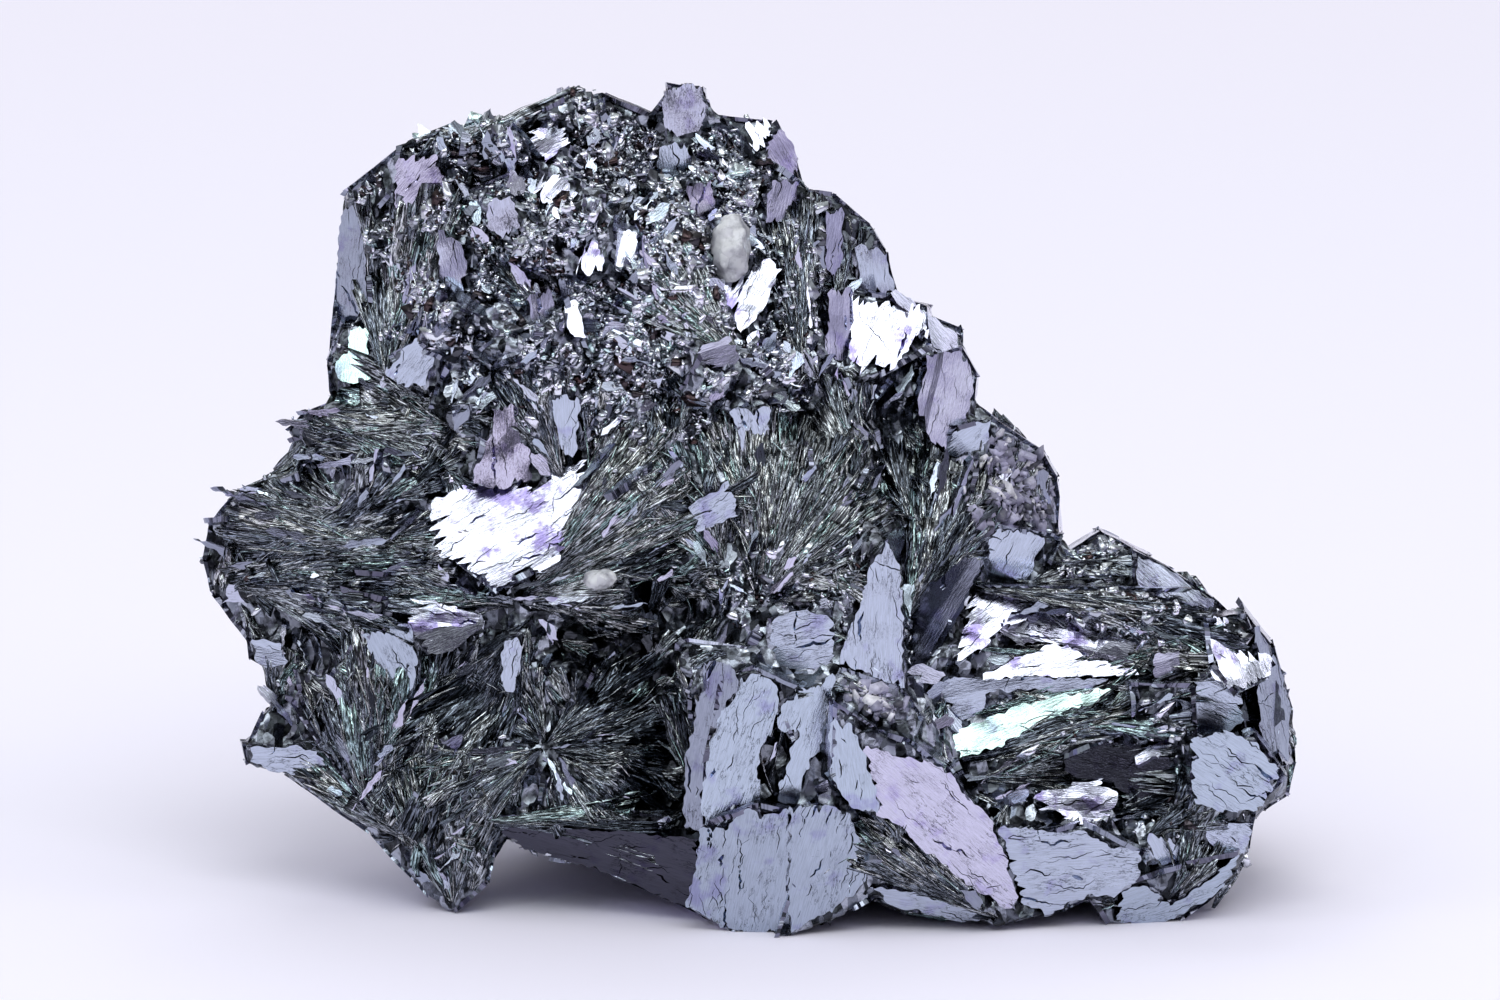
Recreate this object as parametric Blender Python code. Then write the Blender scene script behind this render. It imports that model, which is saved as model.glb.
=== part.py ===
"""A hand specimen of specular hematite with two quartz grains, standing on its broken base.

Run it with: blender --background --python part.py

The mass is drawn on its display face, which leans back from upright. A place is
(across, up, out) in millimetres: across to the right, up along the leaning face, and out
towards someone who looks straight at the face. The last step stands it on the ground.
"""

import math
import random
from typing import NamedTuple

import bmesh
import bpy
from mathutils import Matrix, Vector
from mathutils.bvhtree import BVHTree
from mathutils.geometry import delaunay_2d_cdt

# Driving dimensions.
FACE_LEAN = math.radians(12)  # the display face leans back by this
BASE_TRIM = 4.4  # what the ground cut takes off below the face's lowest corner, in mm
CRYSTAL_DEPTH = 6.5  # from a crystal's face to its root in the mass, in mm
ROOT_FLARE = 1.12  # a plate's root is this much wider than its face
RIM = 1.5  # half the thickness of the mass along its edge, in mm
SINK = 1.3  # how deep the mass lies behind the faces of its crystals, in mm
SOCKET_GAP = 0.3  # around a quartz grain, in mm
SKIN_CELL = 4.6  # the spacing of the mass's corners on the face, in mm
CRUSHED_CELL = 2.4  # the same where the face is crushed
BACK_CELL = 6.6  # the same on the back
FAN_STEPS = (0.1, 0.55, 1.0)  # where a fan's rows of points stand, from its apex to its edge
SPRAY_TRIES = 420  # how many places are tried for a small fan on the face
BACK_RAYS = 52  # how many places are tried for a crystal around each of the back's centres
FAN_EVERY = 9  # every so many crystals of the back is a fan
MOST_FACES = 9700  # triangles in the mass
SEED = 4

METRES_PER_MM = 0.001
HEMATITE_COLOUR = (0.29, 0.32, 0.38, 1.0)
QUARTZ_COLOUR = (0.62, 0.62, 0.68, 1.0)


class Lump(NamedTuple):
    """A rough ellipsoid."""

    centre: tuple
    radii: tuple


class Plate(NamedTuple):
    """A flat crystal plate. yaw turns its face to the right and pitch turns it up, in degrees."""

    out: float
    yaw: float
    pitch: float
    outline: tuple


class Sheaf(NamedTuple):
    """A fluted fan of fibres that spreads from its apex to its tip."""

    apex: tuple
    tip: tuple
    half_angle: float
    crown: float
    flutes: int


class Grain(NamedTuple):
    """A stubby quartz crystal in a socket of its own."""

    centre: tuple
    radii: tuple


# The edge of the mass as seen by someone who looks straight at the face: (across, up, out), clockwise.
OUTLINE = (
    (-8, 84.2, 1), (-5.7, 84.8, 1), (-4, 83.7, 1), (-3, 81.8, 1), (2.8, 81.2, 2), (4.8, 77.2, 2),
    (5.8, 74.2, 3), (8.6, 74, 1), (12.3, 70.9, 0), (13.9, 68.2, 0), (14.6, 64.2, 0), (17.8, 61.4, 0),
    (21.3, 59.9, 1), (22.6, 56.2, 2), (22.9, 53.1, 2), (26.3, 50.6, 0), (29.4, 47.8, 0), (30.8, 45.8, 0),
    (31, 42, 0), (31.2, 38.2, 1), (33, 38.2, 1), (35.4, 40, 1), (40.4, 37.8, 1), (47, 33.1, 2), (51.6, 28.8, 2),
    (53.8, 25.7, 2), (54.8, 22, 2), (54.8, 17, 3), (54, 13.7, 4), (50.3, 11.4, 7), (50.2, 8.7, 8),
    (47.8, 5, 10), (44.3, 2.6, 12), (41.3, 0.6, 13), (38.3, 0.4, 14), (35.8, 1, 14), (33.9, 4, 15),
    (31.3, 2.7, 16), (24.8, 1.2, 17), (21.3, 2.2, 17), (15.8, 4.2, 17), (13.3, 4.4, 17), (10.3, 2.7, 18),
    (5.3, 0.7, 18), (0.8, 0, 18), (-2.2, 1.2, 16), (-5.7, 3.2, 14), (-10.7, 5.4, 12), (-15.7, 7, 11),
    (-20.7, 8.7, 11), (-24.6, 11, 11), (-25.7, 5.2, 11), (-29.2, 2, 10), (-31.7, 3.7, 9), (-37.7, 10, 7),
    (-43.7, 14.2, 5), (-46.7, 16.2, 5), (-49.8, 16.8, 5), (-50.4, 18.2, 5), (-47.4, 22.8, 3), (-47.6, 26, 2),
    (-50, 29, 2), (-53.8, 34, 1), (-54.6, 37.2, 1), (-53.9, 41, 1), (-51.8, 43.2, 1), (-47.2, 46.1, 1),
    (-45.3, 49, 1), (-46.4, 50.3, 1), (-44.7, 51.9, 1), (-41.7, 53, 1), (-42.1, 57, 1), (-41.3, 64, 0),
    (-40.6, 72.8, 0), (-36.3, 77, 0), (-32.8, 79.9, 0), (-29.8, 80.8, -1), (-21.8, 81.8, -1),
    (-17, 84, -1), (-14.7, 84.1, -1), (-9.7, 82, 0),
)

# The centres that the back's crystals point away from.
BACK_CENTRES = ((-14, 56, -9), (-12, 24, -8), (26, 24, -7))

# How far the back stands behind the face, as places on it.
BACK = (
    (-30, 66, -19), (-10, 70, -24), (6, 60, -20), (-24, 48, -28), (0, 42, -24), (20, 42, -17),
    (-42, 38, -12), (-34, 20, -6), (-12, 22, -24), (12, 18, -29), (32, 24, -24), (45, 18, -14),
)

FOOT = Lump((6, 20, -14), (27, 14, 14))

# Places in the hollows between the crystals.
HOLLOWS = (
    (-15, 28, 8), (-12, 25.5, 7), (-15, 24, 8), (-8, 16, 8), (-7, 13.5, 10), (-6.5, 19, 10), (36.5, 17.5, 7),
    (33, 16, 8), (40, 16.5, 8), (4.2, 18, 15), (3.6, 15, 16), (14, 53, 3), (16, 55, 3), (-28.5, 22, 8), (20, 25, 8),
    (20.5, 38, 8), (-33, 53, 8), (-41, 25, 7), (-6, 29, 13), (13, 44, 10), (29, 14, 11), (46, 21.5, 11),
)

PLATES = {
    "crown_tooth": Plate(1, 10, -10, ((-8, 83.5), (-8, 85), (-4.5, 84.5), (-4, 82), (-5, 79.5), (-8, 79.5))),
    "dome_shield": Plate(8, -20, 8, ((-35, 76), (-30.5, 77), (-30.5, 74), (-32, 70.5), (-33.5, 69.5), (-35.5, 73))),
    "dome_strip": Plate(13, -18, -6, ((-30.5, 69.5), (-28, 68), (-28.5, 62.5), (-30.5, 63.5))),
    "dome_foot": Plate(12.5, -8, -12, ((-35.5, 57.5), (-32, 59.5), (-31.5, 56.5), (-33.5, 54.5))),
    "left_mirror": Plate(6, -25, 14, ((-42, 57), (-40.5, 61.5), (-38.5, 60.5), (-37, 55.5), (-41.5, 54))),
    "left_wall": Plate(3, -48, -4, ((-40.5, 73), (-38, 74.5), (-37.5, 63), (-40, 60), (-41.8, 60), (-41, 67))),
    "left_eave": Plate(7, -30, 5, ((-40.5, 74), (-37, 76.5), (-34.5, 78.5), (-35.5, 73.5), (-38, 71))),
    "right_tooth": Plate(4, 30, -3, ((2.5, 81), (5, 77.5), (5.5, 75), (3, 74.5), (1.5, 78))),
    "rose_tablet": Plate(7, 25, -3, ((2, 73.5), (5, 73.2), (5.2, 71.5), (3, 70), (1.8, 71.5))),
    "lath": Plate(7, 35, 0, ((8, 72), (9.4, 72), (9.2, 67), (8.6, 65), (7.8, 68))),
    "slope_tablet": Plate(3, 22, -8, ((11, 68.5), (14, 68), (15, 63.5), (12, 63.5))),
    "slope_mirror": Plate(8, 12, 22, ((8, 64), (12, 64), (18, 62.5), (18.5, 58.5), (13, 55.5), (10.5, 55), (8, 59))),
    "slope_cap": Plate(1, 30, 14, ((14.5, 64), (18, 61.8), (21.5, 60.5), (21.5, 57.5), (17, 58))),
    "tall_tablet": Plate(7, 28, -4, ((18, 57.5), (21.5, 58.5), (23, 55.5), (22.5, 53), (21, 49.5), (19, 48), (17, 52.5))),
    "elbow_tablet": Plate(7, 8, -16, ((21, 50.5), (24.5, 51.5), (23.5, 48), (19, 47.8))),
    "grey_shoulder": Plate(5, 22, -8, ((24, 51.5), (29.5, 48), (31, 45.5), (31.2, 40), (25.5, 40.5), (22, 46))),
    "shoulder_foot": Plate(8, 6, -15, ((23.5, 41), (31.2, 39.5), (29.5, 34.5), (24, 34.5))),
    "lilac_wedge": Plate(15, 14, -6, ((-24.5, 52.5), (-23, 51.5), (-22, 46), (-24, 44.5), (-27, 45), (-26, 49.5))),
    "vertical_lath": Plate(15, -4, -14, ((-19, 54), (-17, 54), (-16.6, 49), (-18, 47), (-19.3, 50))),
    "brow_tablet": Plate(15.5, 3, -14, ((-1.5, 52), (2.5, 52.5), (2.2, 49), (0, 48))),
    "bright_fan": Plate(
        15, -5, 24,
        ((-31, 43), (-27, 44.5), (-22, 45.5), (-15.5, 47.2), (-16, 43.5), (-18.5, 38), (-21, 36.2), (-25, 34.3), (-30, 38.3)),
    ),
    "centre_tablet": Plate(16.5, 2, -14, ((-5.6, 42.5), (-2, 44.8), (-0.8, 42), (-5, 40.2))),
    "bright_sheaf": Plate(13, -5, 22, ((-33.6, 34.2), (-26.5, 31.6), (-33.4, 29.5))),
    "lilac_sheaf": Plate(13.5, 12, 4, ((-33.5, 29.3), (-26, 31.2), (-29, 28.2), (-31.5, 27.5))),
    "slate_tablet": Plate(13, -8, -14, ((-38, 29.5), (-34.4, 31), (-33, 28), (-33, 24.5), (-34.5, 24), (-36, 26))),
    "needle_tablet": Plate(13.5, 4, -14, ((-24, 30), (-22, 30.5), (-22.3, 27.5), (-23.5, 23.8))),
    "rim_tablet": Plate(5, -15, -12, ((-50, 29.5), (-46.5, 28.5), (-46, 27), (-48, 26.3), (-49.7, 27.3))),
    "snout": Plate(7.5, -12, -16, ((-50.3, 19), (-46, 18.7), (-42.5, 18), (-41, 15.3), (-46, 15.8), (-50, 16.8))),
    "snout_roof": Plate(6.5, -10, 22, ((-48.5, 21.8), (-45, 23.5), (-41.5, 22.5), (-42, 18.3), (-49.8, 18.8))),
    "pale_tablet": Plate(20.5, -4, -12, ((2, 31.5), (6, 32.2), (9, 30.5), (9, 26.5), (4, 26.3), (2.3, 29.3))),
    "tall_blade": Plate(
        22.5, -13, -9,
        ((13.6, 39.6), (14.6, 34.5), (15.1, 30), (15.2, 24.8), (12, 27), (10.4, 28.6), (11.3, 34.5), (12.2, 38.2)),
    ),
    "shade_tablet": Plate(13, -22, -3, ((15.6, 36), (20, 34.5), (20.5, 29), (16, 27.3))),
    "great_plate": Plate(
        22.5, -9, -12,
        ((-2.5, 25.5), (0.5, 27), (5, 25), (4.5, 22.5), (2, 21), (1, 18), (1, 14), (-1, 12.5), (-4.2, 10), (-4.2, 17.5), (-3.5, 22)),
    ),
    "great_plate_right": Plate(21, 8, -13, ((5, 24.5), (8.2, 24.5), (9, 15), (7, 12.2), (3.5, 12.6), (5.5, 17), (3.5, 21.5))),
    "keel_left": Plate(21, -8, -24, ((-3.8, 11.5), (1.2, 13.5), (5.2, 12.5), (4.6, 6), (2.6, 0), (0.4, 1.4), (-2.2, 6))),
    "keel_right": Plate(21, 15, -20, ((5.2, 12.5), (7.8, 12.8), (12.6, 8), (12, 5.5), (9, 2.5), (5, 0.5), (2.6, 0), (4.6, 6))),
    "underside": Plate(
        16, -22, -36,
        ((-24.5, 11), (-15, 10.6), (-5.5, 10), (0.3, 9), (1.2, 1.2), (-2, 1), (-6, 3), (-15, 7), (-22, 8.8)),
    ),
    "lilac_plate": Plate(
        22.5, 14, -10,
        ((8.5, 23.5), (12.5, 21), (16, 19.5), (19.5, 17), (23.5, 11), (26.5, 3), (25, 2.4), (20.5, 6), (14, 11), (10, 14), (8.3, 16)),
    ),
    "mauve_cap": Plate(22, 2, 8, ((9.3, 26.8), (15.5, 24.7), (17.2, 22), (16.5, 20.2), (13, 20.5), (10.3, 22.5))),
    "keel_sliver": Plate(18, 4, -28, ((12.3, 5.2), (17, 4.4), (25.2, 1.4), (21, 1.7), (14, 3.2))),
    "bowl_mirror": Plate(12.5, 20, 20, ((22.3, 34.2), (25.7, 33.2), (23.7, 29), (20.3, 27.3))),
    "bowl_band": Plate(11.5, 4, 25, ((23.8, 26), (31.5, 28.8), (36.8, 27), (31.5, 25.2))),
    "bowl_shelf": Plate(12, 0, -6, ((21, 25), (36.5, 24.9), (36, 22.2), (28, 22), (22, 21))),
    "green_band": Plate(13.5, -6, 21, ((19.8, 20.2), (30, 22.8), (36.2, 24.2), (27, 20), (21.5, 17.8))),
    "dark_roll": Plate(14, -6, 4, ((21.3, 17.2), (29, 20.5), (37.5, 23), (38, 20.5), (31, 17.5), (24.3, 13.3))),
    "floor_plate": Plate(
        18.5, -2, -16, ((27, 10), (33, 11.6), (39, 8.6), (36, 4), (32, 3.9), (29, 2.8), (26, 5), (25.8, 8.6))
    ),
    "cheek_plate": Plate(16.5, 12, -14, ((43.8, 17.8), (50, 20.2), (53.2, 16), (50.3, 12.7), (47, 12.3), (43.8, 14))),
    "cheek_middle": Plate(16, 5, -8, ((37.8, 25.2), (44.2, 25), (44.4, 18.6), (38.2, 20))),
    "cheek_mirror": Plate(13, 22, 20, ((45.3, 31.4), (49.5, 31.8), (51.6, 25.5), (48, 24), (45.8, 27))),
    "rim_roll": Plate(6, 55, 0, ((49.5, 32.2), (52.6, 28.5), (54.7, 22), (54.6, 15.5), (52.5, 14), (50.5, 21), (49, 27))),
    "chin_plate": Plate(15.5, 9, -25, ((37, 5.5), (43, 7.3), (48.5, 8.5), (46.8, 4.6), (42.5, 1.1), (36.4, 0.6))),
    "jaw_plate": Plate(13, 24, -8, ((43, 12.5), (50.3, 12.6), (49.7, 8.2), (47.5, 6), (43, 8.3))),
    "lobe_peak": Plate(2.5, 14, 16, ((31.5, 37.5), (35.5, 40.1), (40.5, 37.6), (38.5, 34.5), (33, 34.5))),
    "lobe_eave": Plate(5, 28, 12, ((38.5, 38.2), (43, 36), (47.2, 33), (49.3, 30.5), (45.5, 30.3), (38.5, 34.2))),
}

SHEAVES = {
    "left_wing": Sheaf((-54.3, 34.5, 2), (-34, 33.5, 12.5), 17, 3.5, 8),
    "left_brow": Sheaf((-29, 50.5, 13), (-46.5, 50.2, 4), 13, 2.5, 6),
    "left_shelf": Sheaf((-31, 37.5, 13.5), (-53.5, 42.5, 2.5), 15, 2.5, 7),
    "green_knot": Sheaf((-38.5, 40.5, 11), (-34, 47, 13), 40, 1.5, 4),
    "burst_up": Sheaf((-23, 34.2, 14), (-8, 45.5, 15.5), 22, 2, 7),
    "burst_right": Sheaf((-24, 33.2, 14.5), (-9, 34.5, 14.5), 13, 2, 5),
    "butterfly_right": Sheaf((-20.5, 18.5, 14.5), (-6, 20.5, 7.5), 42, 1.5, 9),
    "butterfly_left": Sheaf((-19, 18.8, 14.5), (-32, 13.5, 13), 30, 2, 7),
    "butterfly_foot": Sheaf((-20, 19, 14.5), (-14, 11, 15.5), 42, 1.5, 6),
    "claw_root": Sheaf((-36.3, 10.5, 12.5), (-38, 29, 10.5), 30, 2.5, 8),
    "claw_shin": Sheaf((-32, 9, 12.5), (-46.5, 18.5, 5), 15, 2, 4),
    "spike": Sheaf((-29, 2.2, 10.5), (-30.5, 16.5, 13.5), 26, 3, 6),
    "spike_back": Sheaf((-28, 3.4, 8), (-24.5, 13.5, 12), 14, 2, 3),
    "left_rim": Sheaf((-47.5, 21.5, 5), (-46.5, 30.5, 5), 16, 2, 4),
    "ledge": Sheaf((-29, 11.8, 14), (-6, 10.8, 18), 5, 1.2, 2),
    "middle_fall": Sheaf((-18, 44.5, 14), (-20.5, 56, 14.5), 22, 1.5, 5),
    "middle_burst": Sheaf((1, 33, 18.5), (9, 48.5, 14.5), 32, 2, 9),
    "shoulder_fall": Sheaf((15.7, 31, 14.5), (22.5, 47, 8), 17, 2, 6),
    "dome_fall": Sheaf((0, 56.5, 13.5), (-12, 66.5, 12.5), 18, 1.5, 5),
    "slope_fall": Sheaf((5.5, 54, 12.5), (5, 72.5, 6.5), 9, 1.5, 4),
    "lobe_sweep": Sheaf((20, 34.8, 13), (47.5, 31, 10), 7, 2, 5),
    "lobe_rim": Sheaf((51, 10.5, 10), (52, 31, 6), 9, 2.5, 4),
    "keel_band": Sheaf((25.7, 1.6, 19.5), (11, 10.6, 20.5), 9, 1.5, 3),
    "chin_notch": Sheaf((41, 3, 15), (46.5, 14.5, 14), 20, 1.5, 5),
    "bowl_crown": Sheaf((33, 31, 8), (46, 30, 11), 20, 1.5, 5),
}

GRAINS = {
    "quartz_grain_upper": Grain((-1.5, 68.2, 10.0), (2.2, 3.5, 2.4)),
    "quartz_grain_centre": Grain((-14.5, 35.4, 17.4), (1.8, 1.1, 1.5)),
}

# Where the face is a crush of small crystals: (corner, opposite corner, how many stand out).
CRUSHED = (
    ((-38, 61), (-9, 84), 36),
    ((-9, 56), (6, 80), 18),
    ((-30, 49), (6, 61), 16),
    ((33, 33), (46, 38), 4),
)


def face_normal(yaw, pitch):
    """The outward normal of a facet turned right by yaw and up by pitch, in degrees."""
    yaw, pitch = math.radians(yaw), math.radians(pitch)
    return Vector((math.sin(yaw) * math.cos(pitch), math.sin(pitch), math.cos(yaw) * math.cos(pitch)))


def plane_height(plate, point):
    """How far out a plate's face lies at a point (across, up)."""
    middle = plate_middle(plate)
    normal = face_normal(plate.yaw, plate.pitch)
    slope = (point[0] - middle.x) * normal.x + (point[1] - middle.y) * normal.y
    return plate.out - slope / normal.z


def plate_middle(plate):
    return sum((Vector(point) for point in plate.outline), Vector((0, 0))) / len(plate.outline)


def nearest_rim(across, up):
    """The distance to the edge of the mass, and how far out the edge lies there."""
    best = (math.inf, 0.0)
    for (x0, y0, z0), (x1, y1, z1) in zip(OUTLINE, OUTLINE[1:] + OUTLINE[:1]):
        run, rise = x1 - x0, y1 - y0
        share = ((across - x0) * run + (up - y0) * rise) / (run * run + rise * rise)
        share = min(max(share, 0.0), 1.0)
        gap = math.hypot(across - x0 - share * run, up - y0 - share * rise)
        best = min(best, (gap, z0 + share * (z1 - z0)))
    return best


def encloses(corners, across, up):
    """Whether a ray to the right crosses the ring of corners an odd number of times."""
    inside = False
    for (x0, y0, *_), (x1, y1, *_) in zip(corners, corners[1:] + corners[:1]):
        if (y0 > up) != (y1 > up) and across < x0 + (up - y0) * (x1 - x0) / (y1 - y0):
            inside = not inside
    return inside


def inside_outline(across, up):
    return encloses(OUTLINE, across, up)


def blend(across, up, places):
    """The height between places of known height, nearer ones counting for more."""
    total = weights = 0.0
    for x, y, height in places:
        weight = 1 / ((x - across) ** 2 + (y - up) ** 2 + 0.6) ** 2
        total += height * weight
        weights += weight
    return total / weights


def swell(distance, reach):
    """A quarter circle that rises from 0 at the rim to 1 at reach and beyond."""
    return math.sqrt(1 - (1 - min(distance / reach, 1)) ** 2)


def face_places():
    """Places just behind the faces of the named crystals, and those in the hollows."""
    places = list(HOLLOWS)
    for plate in PLATES.values():
        for point in (*plate.outline, plate_middle(plate)):
            places.append((point[0], point[1], plane_height(plate, point) - SINK))
    for sheaf in SHEAVES.values():
        apex, tip = Vector(sheaf.apex), Vector(sheaf.tip)
        side = Vector((apex.y - tip.y, tip.x - apex.x, 0)) * math.tan(math.radians(sheaf.half_angle))
        for step in (0.1, 0.4, 0.7, 1.0):
            for lean in (-0.8, 0, 0.8):
                place = apex + (tip - apex) * step + side * step * lean
                lift = sheaf.crown * step * (1 - lean * lean)
                places.append((place.x, place.y, place.z + lift - SINK))
    return places


def in_crushed(across, up):
    return any(low[0] < across < high[0] and low[1] < up < high[1] for low, high, _ in CRUSHED)


def scatter(spacing, keep, chance):
    """Points of a shaken triangular grid that lie inside the outline and that keep accepts."""
    points = []
    rows = int(90 / (spacing * 0.87))
    for row in range(rows):
        for column in range(int(116 / spacing)):
            across = -57 + (column + 0.5 * (row % 2)) * spacing + chance.uniform(-0.3, 0.3) * spacing
            up = row * spacing * 0.87 + chance.uniform(-0.3, 0.3) * spacing
            near, _ = nearest_rim(across, up)
            if near > 0.35 * spacing and inside_outline(across, up) and keep(across, up):
                points.append((across, up))
    return points


def add_skin(mesh, rim, points, height, facing):
    """Triangles over the points, from a ring of rim vertices, all turned outward or all turned back."""
    flat = [vertex.co.xy for vertex in rim] + [Vector(point) for point in points]
    loop = [(i, (i + 1) % len(rim)) for i in range(len(rim))]
    _, _, faces, origins, _, _ = delaunay_2d_cdt(flat, loop, [], 1, 1e-5)
    vertices = rim + [mesh.verts.new((x, y, height(x, y))) for x, y in points]
    for face in faces:
        corners = [vertices[origins[i][0]] for i in face]
        made = mesh.faces.new(corners)
        made.normal_update()
        if made.normal.z * facing < 0:
            made.normal_flip()


def core_mesh(chance):
    """The mass between its crystals: a crumpled front and a coarser back, joined by a narrow rim."""
    mesh = bmesh.new()
    fronts = face_places()

    def front_height(across, up):
        near, edge = nearest_rim(across, up)
        rough = 1.1 if in_crushed(across, up) else 0.55
        depth = blend(across, up, fronts) + chance.uniform(-rough, rough)
        return edge + RIM + (depth - edge - RIM) * swell(near, 4)

    def back_height(across, up):
        near, edge = nearest_rim(across, up)
        depth = blend(across, up, BACK) + chance.uniform(-1.6, 1.6)
        return edge - RIM + (depth - edge + RIM) * swell(near, 13)

    front_rim = [mesh.verts.new((x, y, z + RIM)) for x, y, z in OUTLINE]
    back_rim = [mesh.verts.new((x, y, z - RIM)) for x, y, z in OUTLINE]
    for i in range(len(OUTLINE)):
        j = (i + 1) % len(OUTLINE)
        mesh.faces.new((front_rim[i], front_rim[j], back_rim[j], back_rim[i]))
    coarse = scatter(SKIN_CELL, lambda x, y: not in_crushed(x, y), chance)
    fine = scatter(CRUSHED_CELL, in_crushed, chance)
    add_skin(mesh, front_rim, coarse + fine, front_height, 1)
    add_skin(mesh, back_rim, scatter(BACK_CELL, inside_outline, chance), back_height, -1)
    return mesh


def add_loft(mesh, rings):
    """Closes a stack of equal rings of points."""
    rows = [[mesh.verts.new(point) for point in ring] for ring in rings]
    count = len(rows[0])
    for upper, lower in zip(rows, rows[1:]):
        for i in range(count):
            j = (i + 1) % count
            mesh.faces.new((upper[i], lower[i], lower[j], upper[j]))
    mesh.faces.new(rows[0])
    mesh.faces.new(rows[-1][::-1])


def add_lump(mesh, lump, chance):
    """An ellipsoid with flat facets, each corner pushed in or out a little."""
    made = bmesh.ops.create_icosphere(mesh, subdivisions=2, radius=1.0)
    for vertex in made["verts"]:
        push = 1 + chance.uniform(-0.08, 0.08)
        vertex.co = Vector(lump.centre) + Vector(vertex.co[i] * lump.radii[i] * push for i in range(3))


def add_plate(mesh, plate, chance):
    """A slab whose face shows as its outline from straight ahead, with flanks that flare into the mass."""
    middle = plate_middle(plate)

    def ring(grow, drop):
        points = []
        for x, y in plate.outline:
            at = middle + (Vector((x, y)) - middle) * grow
            height = plane_height(plate, at) - drop + chance.uniform(-0.03, 0.03)
            points.append(Vector((at.x, at.y, height)))
        return points

    add_loft(mesh, (ring(1.0, 0.0), ring(ROOT_FLARE, CRYSTAL_DEPTH)))


def add_tablet(mesh, centre, normal, size, thick, chance):
    """A small crystal with four to six sides, sunk into the mass and kept inside the outline."""
    normal = normal.normalized()
    side = normal.orthogonal().normalized()
    side.rotate(Matrix.Rotation(chance.uniform(0, math.tau), 3, normal))
    along = normal.cross(side)
    count = chance.randint(4, 6)
    stretch = chance.uniform(0.5, 0.95)
    face, root = [], []
    for i in range(count):
        turn = math.tau * (i + chance.uniform(-0.25, 0.25)) / count
        reach = size / 2 * chance.uniform(0.8, 1.15)
        spoke = side * math.cos(turn) * reach + along * math.sin(turn) * reach * stretch
        while spoke.length > 0.5 and not inside_outline(*(centre + spoke).xy):
            spoke *= 0.9
        face.append(centre + spoke)
        root.append(centre + spoke * 1.2 - normal * thick)
    add_loft(mesh, (face, root))


def add_fan(mesh, apex, axis, outward, reach, sheaf, chance):
    """A fan of flutes with its face towards outward: ridges and furrows from the apex to a ragged edge."""
    side = outward.cross(axis).normalized()
    normal = axis.cross(side).normalized()
    half = math.radians(sheaf.half_angle)
    widths = [chance.uniform(0.5, 1.5) for _ in range(2 * sheaf.flutes)]
    turns = [half * (2 * sum(widths[:i]) / sum(widths) - 1) for i in range(len(widths) + 1)]
    flute = 0.5 * reach * math.sin(half) / sheaf.flutes
    top = [[] for _ in FAN_STEPS]
    bottom = [[] for _ in FAN_STEPS]
    for i, turn in enumerate(turns):
        ray = axis * math.cos(turn) + side * math.sin(turn)
        length = reach * chance.uniform(0.75, 1.0)
        while not inside_outline(*(apex + ray * length).xy):
            length *= 0.96
        ridge = flute * (chance.uniform(0.3, 1) if i % 2 else -chance.uniform(0.2, 0.6))
        if i in (0, len(turns) - 1):
            ridge = 0.0
        lift = sheaf.crown * (1 - (turn / half) ** 2) + ridge
        for row, step in enumerate(FAN_STEPS):
            top[row].append(apex + ray * length * step + normal * lift * step)
            bottom[row].append(apex + ray * length * 0.94 * step - normal * CRYSTAL_DEPTH)
    add_shell(mesh, top, bottom)


def add_shell(mesh, top, bottom):
    """Closes two equal grids of points into one body. The rows run away from the apex."""
    upper = [[mesh.verts.new(point) for point in row] for row in top]
    lower = [[mesh.verts.new(point) for point in row] for row in bottom]
    rows, columns = len(upper), len(upper[0])
    for i in range(rows - 1):
        for j in range(columns - 1):
            mesh.faces.new((upper[i][j], upper[i + 1][j], upper[i + 1][j + 1], upper[i][j + 1]))
            mesh.faces.new((lower[i][j], lower[i][j + 1], lower[i + 1][j + 1], lower[i + 1][j]))
    for j in range(columns - 1):
        mesh.faces.new((upper[0][j], upper[0][j + 1], lower[0][j + 1], lower[0][j]))
        mesh.faces.new((upper[-1][j + 1], upper[-1][j], lower[-1][j], lower[-1][j + 1]))
    for i in range(rows - 1):
        mesh.faces.new((upper[i + 1][0], upper[i][0], lower[i][0], lower[i + 1][0]))
        mesh.faces.new((upper[i][-1], upper[i + 1][-1], lower[i + 1][-1], lower[i][-1]))


def face_crystals(chance):
    """The named plates and sheaves of the display face."""
    mesh = bmesh.new()
    for plate in PLATES.values():
        add_plate(mesh, plate, chance)
    for sheaf in SHEAVES.values():
        apex, tip = Vector(sheaf.apex), Vector(sheaf.tip)
        reach = (tip - apex).length
        add_fan(mesh, apex, (tip - apex).normalized(), Vector((0, 0, 1)), reach, sheaf, chance)
    return mesh


def crushed_crystals(tree, chance):
    """Small crystals standing every way where the face is crushed."""
    mesh = bmesh.new()
    for low, high, count in CRUSHED:
        for _ in range(count):
            start = Vector((chance.uniform(low[0], high[0]), chance.uniform(low[1], high[1]), 60))
            place, normal, _, _ = tree.ray_cast(start, Vector((0, 0, -1)))
            if place is None:
                continue
            lean = Vector((chance.gauss(0, 0.4), chance.gauss(0, 0.4), 0))
            size = chance.uniform(2.2, 4.6)
            centre = place + normal * chance.uniform(0.5, 1.3)
            add_tablet(mesh, centre, normal + lean, size, 3.2, chance)
    return mesh


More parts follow.
